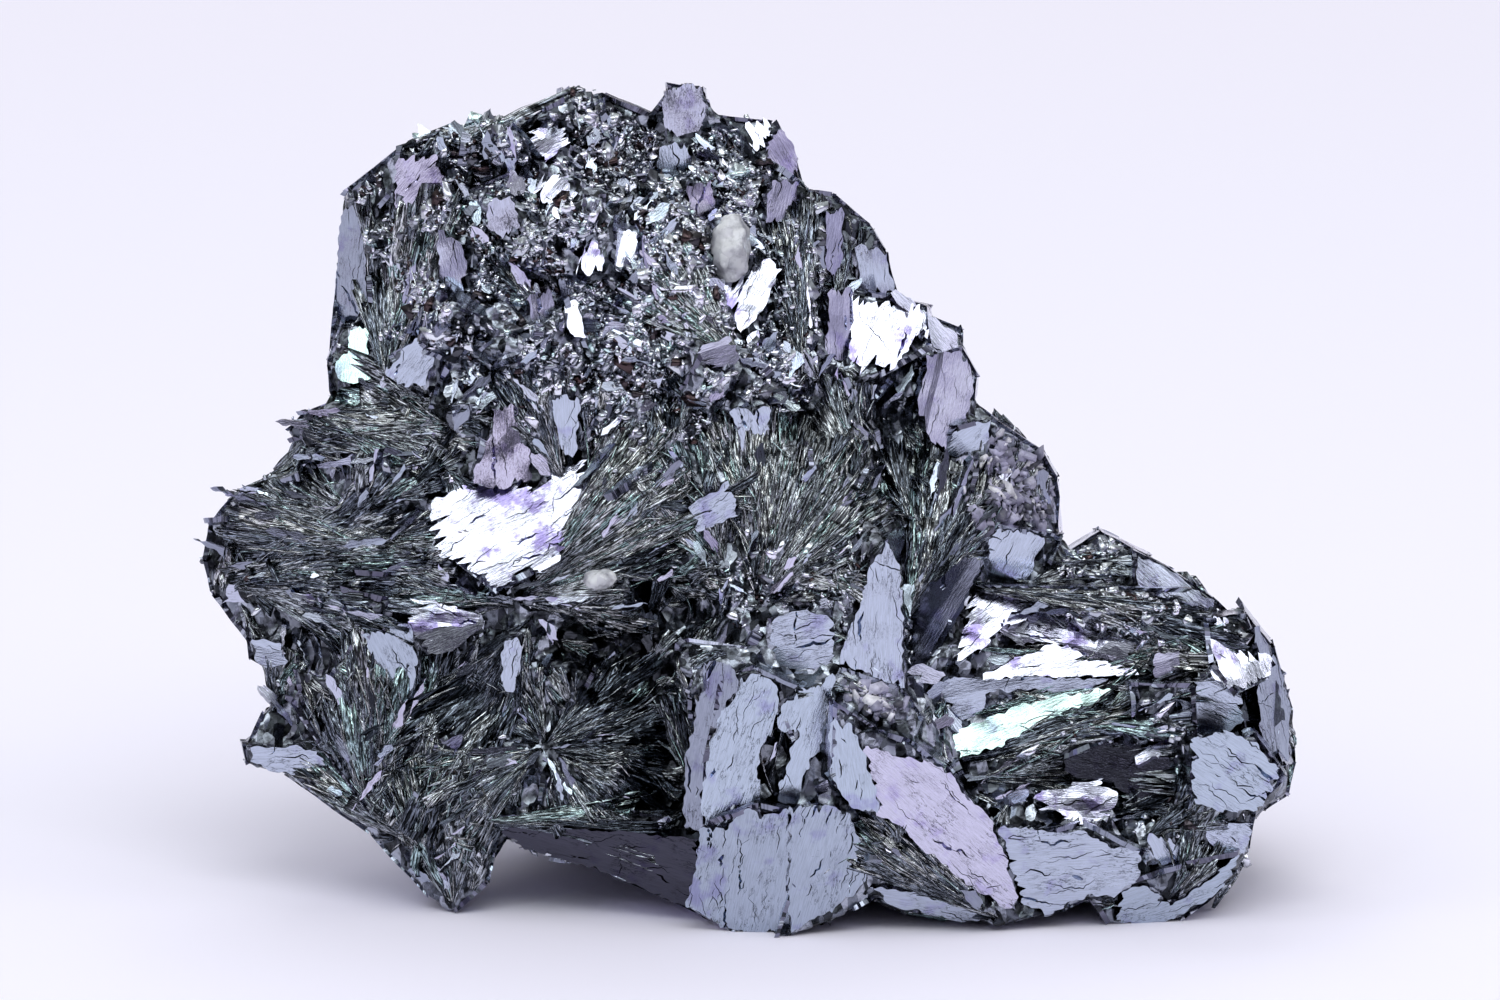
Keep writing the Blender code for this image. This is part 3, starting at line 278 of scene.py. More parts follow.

# tone picks the tint: 0.1 slate, 0.5 blue grey, BRIGHT with lavender clouds painted into the lamp's
# reflection, 0.75 lavender, 1 green.
# tilt is how far its thin crystals lean apart, in radians, and swell how high it waves, in mm.
PLATES = {
    "crown_tooth": Plate(10, -10, 0.6, (
        (-8.3, 84.2), (-7, 85), (-4.8, 84.6), (-3.8, 82.3), (-5.1, 80.4), (-7.3, 79.8), (-8.6, 81.4),
    )),
    "top_cluster": Plate(-4, 19, BRIGHT, (
        (-21.8, 80), (-18.8, 80.4), (-17.6, 78.8), (-19.7, 77), (-21.7, 77.2),
    ), 0.06, 0.35),
    "dome_shield": Plate(-16, -8, 0.75, (
        (-34.7, 77.2), (-30.9, 77.5), (-29.9, 74.7), (-31.5, 72.4), (-33.1, 73.1), (-34.1, 71.2),
        (-35, 71.5), (-34.7, 74.4),
    )),
    "dome_strip": Plate(-18, -6, 0.6, (
        (-30.3, 69.9), (-28.7, 68.6), (-27.9, 66.1), (-28.4, 62.9), (-29.9, 62.7), (-30.7, 65.4),
    )),
    "dome_foot": Plate(-8, -12, 0.5, (
        (-33.1, 58.7), (-31.9, 59.7), (-31.4, 57.1), (-32.2, 54.9), (-34.4, 54.6), (-35.7, 55.9),
    )),
    "dome_brow": Plate(-6, -10, 0.6, (
        (-25.6, 72.6), (-23.4, 73.4), (-22.6, 70.6), (-24.2, 69), (-25.8, 70.4),
    )),
    "dome_slate": Plate(2, -14, 0.5, ((-8.6, 78.6), (-6.2, 79.2), (-5.2, 76.6), (-7, 75), (-8.8, 76.4))),
    "dome_blade": Plate(16, -6, 0.75, ((-5.6, 74.6), (-3.6, 75), (-3.2, 72), (-4.6, 70.6), (-5.8, 72.2))),
    "dome_glint": Plate(-4, 19, BRIGHT, (
        (-20.4, 74.8), (-18.2, 75.6), (-17.2, 73.6), (-18.8, 72.4), (-20.2, 73),
    ), 0.06, 0.3),
    "dome_violet": Plate(20, -2, 0.8, ((-21.6, 62.8), (-19.6, 64), (-18.8, 61.6), (-20.4, 60.2))),
    "left_mirror": Plate(-8, 20, 1.0, (
        (-39.2, 60.3), (-37.9, 60), (-37.9, 57.5), (-37.3, 55.9), (-38.9, 54.9), (-40.8, 55.5),
        (-41.1, 57.1), (-39.8, 57.8),
    )),
    "left_wall": Plate(-48, -4, 0.3, (
        (-40.5, 72), (-38.6, 73), (-38, 63), (-39.6, 60.8), (-41.2, 61), (-41, 67),
    )),
    "centre_spark": Plate(6, 18, 0.8, ((-18.4, 63), (-17, 62.7), (-15.9, 59.2), (-17, 59.4))),
    "cluster_left": Plate(4, 19, BRIGHT, (
        (-16.6, 66.8), (-15.2, 69.4), (-14, 68.8), (-14.4, 65.8), (-15.8, 65.4),
    ), 0.06, 0.2),
    "cluster_right": Plate(12, 17, 0.8, (
        (-13.4, 67), (-12.4, 69.8), (-10.8, 69.6), (-11.2, 66.6), (-12.6, 66),
    ), 0.06, 0.2),
    "shoulder_spark": Plate(0, 21, BRIGHT, (
        (-27.5, 76.5), (-25.2, 76.6), (-25.4, 75.2), (-26.6, 74.8),
    ), 0.06, 0.1),
    "crest_glint": Plate(4, 19, BRIGHT, (
        (0, 81), (1.6, 81.2), (2.8, 79.6), (1.4, 78), (0.2, 79),
    ), 0.06, 0.25),
    "lavender_low": Plate(20, -2, 0.8, (
        (-4.4, 58.4), (-1.6, 59.1), (-0.9, 57.1), (-3.5, 56.2), (-4.8, 56.8),
    )),
    "quartz_mirror": Plate(0, 19, BRIGHT, (
        (-3.2, 65.4), (-0.9, 64.8), (1.9, 67), (3.5, 66.1), (1.9, 63.2), (1, 61.6), (-0.6, 59.7),
        (-1.9, 62.9),
    ), 0.06, 0.3),
    "right_tooth": Plate(30, -3, 0.7, (
        (2.3, 79.1), (3.5, 80.1), (4.8, 77.5), (4.8, 75), (3.2, 76), (1.9, 76.6),
    )),
    "rose_tablet": Plate(25, -3, 0.8, ((2.6, 75), (5.1, 74.7), (5.1, 72.4), (3.9, 70.9), (1.9, 70.9))),
    "lath": Plate(35, 0, 0.6, ((8, 72), (9.4, 72), (9.2, 67), (8.6, 65), (7.8, 68))),
    "slope_tablet": Plate(22, -8, 0.5, ((11, 68.5), (14, 68), (14.6, 64), (12, 63.5))),
    "slope_lilac": Plate(26, -2, 0.8, (
        (8.1, 64.2), (10.3, 64), (10.2, 60), (9.9, 56.4), (8.2, 57.6), (8, 61),
    )),
    "slope_mirror": Plate(6, 21, BRIGHT, (
        (10.4, 63.8), (12.2, 62.6), (14, 63), (17.4, 62.4), (18, 59.6), (16, 58.4), (14.4, 56),
        (12.4, 56.8), (10.6, 55.4), (10.2, 60),
    ), 0.06, 0.25),
    "slope_cap": Plate(30, 12, 0.6, ((14.5, 64), (18, 61.8), (21, 60), (21, 57.5), (18.4, 58))),
    "tall_tablet": Plate(28, -4, 0.8, (
        (18, 57.5), (21.5, 58.2), (22.6, 55.5), (22.3, 53), (21, 49.5), (19, 48), (17.2, 52.5),
    )),
    "elbow_tablet": Plate(8, -16, 0.5, ((21, 50.5), (24.3, 51), (23.5, 48), (19.4, 47.8))),
    "shoulder_foot": Plate(6, -15, 0.5, (
        (24.4, 40.1), (27.1, 40.1), (29.5, 39.2), (28.9, 37.4), (27.7, 34.7), (23.8, 34.7),
    )),
    "lilac_wedge": Plate(14, -6, 0.75, (
        (-25, 52.2), (-23.1, 52.6), (-22.8, 50.3), (-21.9, 48.4), (-21.5, 45.2), (-24.1, 44.6),
        (-27, 44.9), (-26.3, 47.5), (-25, 49.7),
    )),
    "vertical_lath": Plate(-4, -14, 0.5, (
        (-19.1, 53.2), (-16.8, 53.2), (-16.9, 50.3), (-17.4, 47.1), (-18.7, 48.4), (-19.3, 50.6),
    )),
    "brow_tablet": Plate(3, -14, 0.5, ((-1.5, 52), (2.2, 52.2), (2, 49.4), (0, 48))),
    "centre_tablet": Plate(2, -14, 0.5, ((-5.6, 42.5), (-2, 44.8), (-0.8, 42), (-5, 40.2))),
    "bright_fan": Plate(-5, 24, BRIGHT, (
        (-30.9, 43), (-27.3, 44.9), (-24.1, 44.6), (-22.5, 45.2), (-20.9, 44), (-19.3, 45.5),
        (-16.8, 46.8), (-15.6, 47.3), (-15.8, 44.9), (-16.8, 42.7), (-18, 40.4), (-18.3, 37.9),
        (-19.9, 36.3), (-21.5, 36.6), (-23.1, 35.3), (-24.7, 34.7), (-26.3, 36), (-28.6, 36.9),
        (-30.5, 37.9), (-31.1, 39.8),
    ), 0.045, 0.1),
    "bright_sheaf": Plate(-5, 22, BRIGHT, (
        (-33.5, 33.4), (-31.1, 33.1), (-27.3, 32), (-26.6, 31.5), (-30.1, 30.6), (-33, 29.6),
        (-33.5, 31.2),
    ), 0.06, 0.25),
    "lilac_sheaf": Plate(12, 4, 0.8, (
        (-32.5, 29.6), (-29.6, 30.5), (-26, 31.2), (-29, 28.2), (-31.5, 27.8),
    )),
    "slate_tablet": Plate(-8, -14, 0.4, (
        (-37.8, 29.6), (-35.6, 30.2), (-33.8, 30.9), (-33, 29), (-32.9, 25.1), (-34, 24.2), (-35.6, 25.5),
        (-36.5, 27.7),
    )),
    "needle_tablet": Plate(4, -14, 0.5, (
        (-23.9, 29.3), (-22.5, 29.6), (-22.3, 27.7), (-22.8, 25.5), (-23.4, 24.2), (-23.9, 25.5),
        (-24.2, 27.7),
    )),
    "rim_tablet": Plate(-15, -12, 0.5, (
        (-49.6, 29.3), (-46.5, 28.5), (-46, 27), (-48, 26.3), (-49.2, 27.3),
    )),
    "snout": Plate(-12, -16, 0.5, (
        (-49.6, 18.6), (-46, 18.7), (-42.5, 18), (-41.5, 15.8), (-46, 16.2), (-49.6, 17),
    )),
    "pale_tablet": Plate(-4, -12, 0.5, (
        (2.4, 31.2), (5.6, 32.4), (8.2, 31.5), (8.8, 29.9), (8.2, 27.3), (5.6, 26.4), (3.1, 27),
        (2.4, 29.3),
    )),
    "tall_blade": Plate(-13, -9, 0.5, (
        (13.7, 39.1), (14.7, 37.2), (15.2, 34), (15.2, 27.3), (15.3, 24.8), (12.6, 26.1), (9.4, 27.3),
        (10.7, 31.5), (11.5, 34.7), (12.6, 37.2),
    )),
    "shade_tablet": Plate(-22, -3, 0.2, (
        (16.1, 33.4), (19, 35.3), (22.5, 37.9), (23.1, 37.2), (21.9, 34.4), (20.6, 31.8), (19, 28.6),
        (17.1, 26.4), (15.8, 26.1), (15.7, 29.9),
    )),
    "great_plate": Plate(-9, -12, 0.45, (
        (-0.5, 25.4), (1.3, 26.4), (2.6, 24.8), (2.9, 22.9), (2.1, 20.5), (1.3, 18.7), (0.8, 16.5),
        (1.1, 14.6), (1, 13.3), (-0.1, 12.8), (-1.2, 13.3), (-2, 11.7), (-1.7, 9.8), (-4.1, 10.3),
        (-4.4, 13.3), (-4, 16.5), (-3.3, 19.7), (-2.4, 22.2), (-1.2, 24.2),
    )),
    "great_plate_right": Plate(8, -13, 0.45, (
        (3.1, 23.2), (5.3, 24.5), (7.7, 25.4), (8.5, 26.1), (8.2, 23.2), (7.5, 21), (6.9, 18.7),
        (5.6, 16.5), (5, 13.9), (5.3, 12), (3.7, 11.4), (3.1, 13.3), (3.4, 15.5), (4.3, 18.1),
        (5.3, 20.3), (3.7, 20.6), (2.9, 21),
    )),
    "great_plate_edge": Plate(-20, -12, 0.25, (
        (-4, 27.5), (-1.6, 27), (-1, 25), (-3, 22), (-4, 19), (-4.6, 14), (-4.4, 10.5), (-6.2, 10.8),
        (-6, 16), (-5.2, 22),
    )),
    "keel_left": Plate(-8, -24, 0.4, (
        (-4.4, 11), (-1.9, 10.8), (-0.1, 13), (1.3, 12.4), (3.1, 12.4), (4, 13), (4.3, 8.5), (4, 5.3),
        (4.3, 0.6), (-0.1, 0.4), (-3.3, 1.8), (-5.9, 3.4), (-4.9, 6.9),
    )),
    "keel_right": Plate(15, -20, 0.4, (
        (4.3, 13), (8, 13.4), (10, 12.4), (10.7, 9.8), (12.6, 7.7), (11, 5.3), (8.2, 2.8), (4.3, 0.8),
        (4, 5.3), (4.3, 8.5),
    )),
    # its near-black tone is painted shade under the overhanging ledge
    "underside": Plate(-22, -36, 0.03, (
        (-24.5, 11), (-15, 10.6), (-5.5, 10), (-4.9, 6.9), (-5.9, 3.4), (-3.3, 1.8), (-2, 1), (-6, 3),
        (-15, 7), (-22, 8.8),
    )),
    "lilac_plate": Plate(14, -10, 0.72, (
        (11.4, 19.4), (14.2, 17.9), (15.8, 18.1), (17.4, 17.5), (20, 16.5), (20.9, 14.6), (24.1, 11.7),
        (24.7, 9.5), (26.5, 4.1), (25.8, 3), (22.2, 5.3), (17.4, 9.2), (14.5, 11.7), (12.9, 12.5),
        (12.5, 15.6),
    )),
    "lilac_shoulder": Plate(4, -12, 0.45, (
        (8.5, 22), (10.2, 21.4), (11.2, 19.4), (12.2, 15.6), (12.6, 12.6), (10.1, 13.4), (8.5, 16.5),
        (8.3, 19.7),
    )),
    "keel_sliver": Plate(4, -28, 0.5, ((12.3, 5.2), (17, 4.4), (24.6, 2), (21, 2), (14, 3.5))),
    "bowl_mirror": Plate(6, 20, BRIGHT, (
        (22.6, 34), (25.8, 33.8), (28.6, 33), (27.4, 31.4), (24.6, 30.4), (22.8, 28.2), (20.7, 27.4),
        (21.2, 30), (21.8, 32.4),
    ), 0.05, 0.3),
    "bowl_web": Plate(3, 14, BRIGHT, (
        (28.6, 33), (32, 31.8), (36, 30.4), (38.6, 28.8), (38.2, 27), (33.6, 27.8), (29.9, 29),
        (26.4, 29), (24.6, 30.4), (27.4, 31.4),
    ), 0.07, 0.5),
    "bowl_band": Plate(3, 22, BRIGHT, (
        (23.4, 25.6), (25.8, 27.2), (29.9, 28.7), (32.3, 28.7), (33.6, 27.4), (36.7, 26.8), (38.4, 26),
        (32, 25.9), (27.1, 25.6),
    ), 0.05, 0.2),
    "bowl_shelf": Plate(0, -10, 0.5, (
        (19.3, 25.3), (23.2, 25.4), (29, 25.4), (36, 25.4), (33, 24.4), (28, 24.5), (23.9, 24.2),
        (22.9, 21.8), (20.5, 21.2), (19.6, 23.3),
    )),
    "green_band": Plate(-6, 21, 1.0, (
        (20.3, 20), (26.3, 22.5), (31.5, 23.8), (36, 24.3), (35.7, 23.5), (32, 22.5), (28.4, 21.2),
        (26.5, 19.9), (25.2, 18.8), (21, 17.8),
    ), 0.06, 0.25),
    "cave_mirror": Plate(4, 20, BRIGHT, (
        (28.4, 13.8), (31, 14.8), (34.4, 15.6), (36.4, 14), (35.4, 12.2), (33.6, 10.8), (31.5, 11.7),
        (28.9, 12.9),
    ), 0.06, 0.35),
    "floor_plate": Plate(-2, -16, 0.5, (
        (25, 11), (28.3, 10.7), (33.1, 10.4), (36.1, 8.9), (38.6, 8.6), (38.2, 6.2), (36.1, 4.1),
        (33.7, 4.4), (29.5, 2.3), (27.1, 3.8), (26.2, 6.8),
    )),
    "cheek_plate": Plate(12, -14, 0.45, (
        (43.7, 19.7), (46.9, 20.3), (49.9, 19.1), (52.6, 16.4), (51.8, 14.6), (50.2, 12.8), (46.9, 12.5),
        (44.2, 13.4), (43.6, 16.7),
    )),
    "cheek_middle": Plate(4, -11, 0.5, (
        (42.4, 24.8), (46, 25.6), (48.6, 24.4), (49, 21.4), (47.4, 20.4), (44.4, 20.2), (42.8, 22.2),
    )),
    "cheek_violet": Plate(20, -4, 0.8, (
        (40.6, 27.6), (43.2, 28.2), (44.6, 26.6), (42.6, 25.2), (40.4, 25.8),
    ), 0.05, 0.25),
    "cheek_mirror": Plate(7, 20, BRIGHT, (
        (46, 31.6), (47.6, 31.4), (47.5, 29), (49.4, 28), (52, 27.8), (51.6, 26), (49.6, 25),
        (47.6, 24.8), (46.2, 26), (46, 28.4),
    ), 0.06, 0.3),
    "rim_roll": Plate(50, 0, 0.3, (
        (50.5, 30.6), (52.6, 27.5), (54, 22), (54, 17), (52.5, 15), (51, 21), (50.6, 26),
    )),
    "chin_plate": Plate(9, -25, 0.45, (
        (37, 4.4), (39.1, 5), (40.6, 4.1), (41.8, 3.2), (44.8, 4.7), (48.2, 8), (47.3, 5.5), (44.2, 3),
        (40.3, 1.2), (37.3, 1.2), (36.6, 2),
    )),
    "chin_tablet": Plate(6, -12, 0.5, ((39.5, 10.4), (41.5, 9.8), (43.3, 7.7), (41.8, 6.5), (40, 8))),
    "jaw_plate": Plate(24, -8, 0.5, ((45.4, 11.6), (49.8, 11.3), (49.2, 8.5), (47.3, 6.8), (45.7, 8.3))),
    # its slate tone is painted shade in the cave's hollow
    "cave_dark": Plate(4, 3, 0.1, (
        (31.4, 17.4), (35, 19), (40.6, 18.8), (43, 16.6), (42, 13.6), (38, 13.4), (36.4, 15.4), (32, 16),
    )),
    "cave_glint": Plate(-3, 19, BRIGHT, (
        (38.3, 17.3), (41.6, 19.7), (43, 19.5), (40.4, 17.6),
    ), 0.06, 0.2),
    "rim_dark": Plate(10, 3, 0.5, ((49.6, 24), (52.4, 25.4), (53.4, 21.6), (51.2, 19.8), (49, 21.2))),
    "lobe_eave": Plate(28, 10, 0.5, ((39, 37.6), (43, 35.6), (46.6, 32.8), (45, 31.6), (39, 34.6))),
}

# Fans of fibres on the display face: (across, up) of the apex, direction, half angle, reach and brightness.
# The brightness is partly the fibres' own tone, and partly painted shade for the dark fans in the hollows
# and painted highlight for the brightest sheaves.
FANS = (
    (-54.3, 34.5, -1, 18, 22, 0.3), (-50, 36, 5, 14, 18, 0.45), (-31, 37.5, 168, 15, 22, 0.45),
    (-29, 50.5, 181, 14, 17, 0.6), (-33, 47, 165, 16, 13, 0.45), (-38.5, 41, 60, 40, 8, 0.45),
    (-22.5, 33.7, 42, 24, 20, 0.7), (-24, 33.2, 5, 14, 18, 0.2), (-22.5, 33, 176, 10, 18, 0.45),
    (-21, 32, 238, 24, 14, 0.15), (-20, 31, 232, 14, 24, 0.1), (-20.2, 18.7, 32, 26, 16, 0.08),
    (-20.2, 18.5, -6, 16, 16, 0.12), (-20, 18.5, -48, 24, 9, 0.3), (-20, 18.7, 208, 26, 14, 0.35),
    (-20, 19, 130, 26, 11, 0.2), (-36.3, 10.5, 96, 28, 20, 0.45), (-33, 9, 146, 12, 19, 0.45),
    (-29, 2.6, 97, 26, 15, 0.45), (-28, 3.4, 66, 14, 11, 0.45), (-47.5, 21.5, 86, 16, 10, 0.45),
    (-40, 33, 268, 18, 15, 0.45), (-30, 26, 255, 16, 13, 0.45), (-18, 44.5, 100, 22, 13, 0.45),
    (-36, 54, 84, 20, 20, 0.45), (-19, 60, 122, 16, 10, 0.45), (0, 56.5, 140, 20, 14, 0.65),
    (5.5, 54, 92, 9, 20, 0.3), (9, 62, 88, 10, 11, 0.45), (1, 33, 66, 36, 19, 0.6),
    (2, 34, 38, 14, 17, 0.45), (-2, 36, 120, 24, 14, 0.7), (15.7, 31, 66, 18, 18, 0.25),
    (12, 44, 100, 20, 12, 0.45), (20, 34.8, -5, 8, 29, 0.3), (21, 14.5, 30, 8, 21, 0.45),
    (22, 24.5, 2, 10, 18, 0.35), (25.7, 1.6, 148, 9, 18, 0.45), (51, 10.5, 88, 9, 22, 0.45),
    (41, 3, 62, 22, 13, 0.45), (33, 31, -8, 22, 14, 0.45), (4.2, 30, 262, 11, 17, 0.45),
    (-5, 12, 94, 13, 13, 0.45), (14, 53, 200, 22, 13, 0.25), (-29, 11.5, -2, 6, 24, 0.45),
    (-43, 52, -12, 18, 14, 0.45), (30, 37, 12, 22, 12, 0.45), (36, 12, 24, 20, 12, 0.1),
    (19.5, 35.5, -6, 5, 30, 0.2), (20, 31.5, 2, 6, 20, 0.15), (22, 28.5, -3, 7, 24, 0.75),
    (21, 25, 2, 6, 27, 0.3), (20, 21.5, 10, 7, 28, 0.8), (20.5, 17.5, 16, 8, 26, 0.2),
    (21.5, 15.5, 4, 9, 24, 0.5), (29, 16.5, -6, 10, 16, 0.1), (46, 33, -70, 16, 16, 0.4),
    (52, 12, 105, 10, 16, 0.6), (38.5, 9, 35, 14, 13, 0.35), (31.5, 36.5, -26, 9, 20, 0.35),
)

# Where the display face is crushed to grains: (across, up, reach across, reach up, grains tried).
CRUSHED = (
    (-22, 73, 18, 11, 3769), (-17, 62, 20, 9, 2210), (-2, 66, 10, 14, 1690), (0, 77, 6, 6, 780),
    (-10, 54, 16, 6, 1300), (38, 36, 7, 3, 520), (6, 34, 9, 5, 390), (38, 30, 12, 3, 520),
    (38, 21, 14, 12, 520),
)
CRUSHED_DOME = CRUSHED[:3]
GRAINS_ALL = 3200
GRAINS_RIM = 900
GRAIN_SIZES = (-0.2, 0.58)  # the mean and spread of the logarithm of their sizes in mm
SIZE_LIMITS = (0.3, 3.2)
GRAIN_LIFT = (0.0, 0.5)
GRAIN_SPLAY = 0.5  # how much they lean at random
GRAIN_NARROW = (0.25, 0.85)  # how wide they are for their length
GRAIN_THICK = (0.1, 0.3)  # and how thick
GRAIN_RAGGED = (0.6, 1.2)
GLINTING = 0.8  # the share of those on the face that lean like its bright plates

# The shares of the grains kept away from the crushed parts, in the hollows and on the mirror sheets.
KEPT_CALM = 0.3
KEPT_HOLLOW = 0.2
KEPT_ON_SHEET = 0.03

# The dark hollows of the display face, where little grows and the crust is given painted shade: (across,
# up, reach across, reach up).
HOLLOWS = (
    (-13, 27.5, 7, 4), (-9, 17, 3.6, 7), (30.5, 29, 5, 1.8), (32, 17, 6, 3), (-15.5, 12, 7, 2),
    (21, 33, 2.5, 4),
)
HOLLOW_PAINTED_SHADE = 0.16  # how bright the crust is there: painted shade
FIBRE_GROUND_PAINTED_SHADE = 0.5  # and between the fibres of a fan: painted shade under them

# The stony patches of the display face: (across, up, reach across, reach up, lumps tried).
STONY = ((26.0, 44.5, 4.5, 6.0, 420), (12.5, 23.6, 3.4, 2.0, 130), (15.5, 68.5, 3, 3, 90))
LUMP_SIZES = (0.1, 0.5)
QUARTZ_CELL = 0.22
QUARTZ_BUMPS = ((1.6, 2.0, 0.35), (0.5, 8.0, 0.12))  # how wide, where their noise starts and how high
QUARTZ_SINK = 0.12


def face_point(across, up, out):
    """A place on the display face in the row frame, in mm."""
    return FACE_ORIGIN + np.array((across, up, out)) @ FACE_AXES


def face_coords(points):
    return (np.asarray(points) - FACE_ORIGIN) @ FACE_AXES.T


def face_normal(yaw, pitch):
    yaw, pitch = math.radians(yaw), math.radians(pitch)
    flat = np.array((math.sin(yaw) * math.cos(pitch), math.sin(pitch), math.cos(yaw) * math.cos(pitch)))
    return flat @ FACE_AXES


def front_hit(tree, across, up, ahead=AHEAD):
    """Where something is first seen at a place on the face, and the normal there, or None and None."""
    hit, normal, _, _ = tree.ray_cast(Vector(face_point(across, up, ahead)), Vector(-OUT))
    return hit, normal


def unit(vectors):
    length = np.linalg.norm(vectors, axis=-1, keepdims=True)
    return vectors / np.maximum(length, 1e-9)


def rough(point, size, seed=0.0):
    """Smooth noise between -1 and 1, with bumps of about size mm."""
    return noise.noise(Vector(point) / size + Vector((seed, seed * 1.7, -seed)))


def bumpy(point, bumps):
    return sum(rough(point, *bump) for bump in bumps)


def ring_area(ring):
    """The area inside a flat ring, less than 0 where it turns right."""
    return 0.5 * sum(a.cross(b) for a, b in zip(ring, ring[1:] + ring[:1]))


def in_ellipses(table, points):
    """Which points lie, as seen from the front, in one of a table's ellipses."""
    flat = face_coords(points)
    inside = np.zeros(len(flat), bool)
    for across, up, wide, tall, *_ in table:
        inside |= ((flat[:, 0] - across) / wide) ** 2 + ((flat[:, 1] - up) / tall) ** 2 < 1
    return inside


def in_hollow(points, normals):
    return in_ellipses(HOLLOWS, points) & (normals @ OUT > 0)


def triangle_object(name, arrays, material):
    """A mesh object that rides the body. Its points are in mm, and its uv and tone may be None."""
    points, triangles, uv, tone = arrays
    data = bpy.data.meshes.new(name)
    count = len(triangles)
    data.vertices.add(len(points))
    points = np.array(points, np.float64)
    points[:, 2] = np.maximum(points[:, 2], 0)  # nothing sinks into what the specimen stands on
    data.vertices.foreach_set("co", (points * MM).astype(np.float32).ravel())
    data.loops.add(3 * count)
    data.loops.foreach_set("vertex_index", np.asarray(triangles, np.int32).ravel())
    data.polygons.add(count)
    data.polygons.foreach_set("loop_start", np.arange(0, 3 * count, 3, dtype=np.int32))
    data.update(calc_edges=True)
    if uv is not None:
        layer = data.uv_layers.new(name="along")
        layer.data.foreach_set("uv", uv[np.asarray(triangles).ravel()].astype(np.float32).ravel())
    if tone is not None:
        data.attributes.new("tone", "FLOAT", "FACE").data.foreach_set("value", tone.astype(np.float32))
    data.materials.append(material)
    made = bpy.data.objects.new(name, data)
    bpy.context.scene.collection.objects.link(made)
    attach(made, "root")
    return made


def mirror_object(name, arrays, material):
    """A piece made of mirror sheets, whose thin crystals meet in sharp lines."""
    made = triangle_object(name, arrays, material)
    made.data.set_sharp_from_angle(angle=math.radians(SHARP))


def tree_of(points, triangles):
    return BVHTree.FromPolygons([Vector(p) for p in points], [tuple(t) for t in triangles])


def joined(parts):
    """One set of arrays from many."""
    starts = np.cumsum([0] + [len(part[0]) for part in parts[:-1]])
    return (
        np.concatenate([part[0] for part in parts]),
        np.concatenate([part[1] + start for part, start in zip(parts, starts)]),
        np.concatenate([part[2] for part in parts]),
        np.concatenate([part[3] for part in parts]),
    )


def repeated(faces, count, each):
    """The triangles of count pieces with the same faces, each of them with that many points."""
    return (np.array(faces)[None] + (np.arange(count) * each)[:, None, None]).reshape(-1, 3)


# ---------------------------------------------------------------- the solid


def welded(solid):
    """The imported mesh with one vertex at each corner, in mm."""
    mesh = bmesh.new()
    mesh.from_mesh(solid.data)
    mesh.transform(solid.matrix_world)
    bmesh.ops.scale(mesh, vec=(1 / MM,) * 3, verts=mesh.verts)
    bmesh.ops.remove_doubles(mesh, verts=mesh.verts, dist=0.0005)
    bmesh.ops.triangulate(mesh, faces=mesh.faces)
    mesh.normal_update()
    mesh.verts.index_update()
    mesh.faces.ensure_lookup_table()
    return mesh


def vectors_of(items, field):
    values = np.empty(len(items) * 3)
    items.foreach_get(field, values)
    return values.reshape(-1, 3)


def remeshed(mesh, cell):
    """The mesh in even cells: its points, triangles and the normals at the points."""
    holder = bpy.data.objects.new("remesh_source", bpy.data.meshes.new("remesh_source"))
    bpy.context.scene.collection.objects.link(holder)
    mesh.to_mesh(holder.data)
    remesh = holder.modifiers.new("remesh", "REMESH")
    remesh.mode = "VOXEL"
    remesh.voxel_size = cell
    graph = bpy.context.evaluated_depsgraph_get()
    fine = bpy.data.meshes.new_from_object(holder.evaluated_get(graph))
    bpy.data.objects.remove(holder)
    fine.calc_loop_triangles()
    triangles = np.empty(len(fine.loop_triangles) * 3, np.int32)
    fine.loop_triangles.foreach_get("vertices", triangles)
    return vectors_of(fine.vertices, "co"), triangles.reshape(-1, 3), vectors_of(fine.vertices, "normal")


def crust_arrays(mesh, plates, sheets):
    """The solid remeshed finely, roughened, and sunk where a mirror sheet covers it."""
    points, triangles, normals = remeshed(mesh, CRUST_CELL)
    push = np.array([bumpy(p, CRUST_BUMPS) for p in points]) * CRUST_ROUGH - CRUST_SINK
    covered = np.array([sheets.find_nearest(Vector(p), COVERED)[0] is not None for p in points])
    push[covered] = -SUNK_BACK
    resting = points[:, 2] < RESTING
    push[resting] = np.minimum(push[resting], 0)
    points = points + normals * push[:, None]
    for plane, outline in plates:
        points = sink_below(points, plane.normal, plane.middle @ plane.normal, outline)
    points[:, 2] = np.maximum(points[:, 2], 0)
    return points, triangles, None, crust_painted_shade(points[triangles[:, 0]], normals[triangles[:, 0]])


def crust_painted_shade(places, normals):
    """How bright the crust is: painted shade, darker between fibres and darkest in the hollows."""
    flat = face_coords(places)[:, :2]
    under_fibres = np.any([in_sector(fan, flat) for fan in FANS], axis=0) & (normals @ OUT > 0)
    tone = np.where(under_fibres, FIBRE_GROUND_PAINTED_SHADE, 1.0)
    tone[in_hollow(places, normals)] = HOLLOW_PAINTED_SHADE
    return tone


def sink_below(points, normal, level, outline):
    """Pushes what stands in front of a plate's plane, inside its outline on the face, back behind it."""
    above = points @ normal - level
    chosen = np.flatnonzero((above > -SUNK) & (above < PROUD))
    chosen = chosen[inside_rings([outline], face_coords(points)[chosen, :2])]
    points = points.copy()
    points[chosen] -= np.outer((above[chosen] + SUNK) / (normal @ OUT), OUT)
    return points


# ---------------------------------------------------------------- mirror sheets


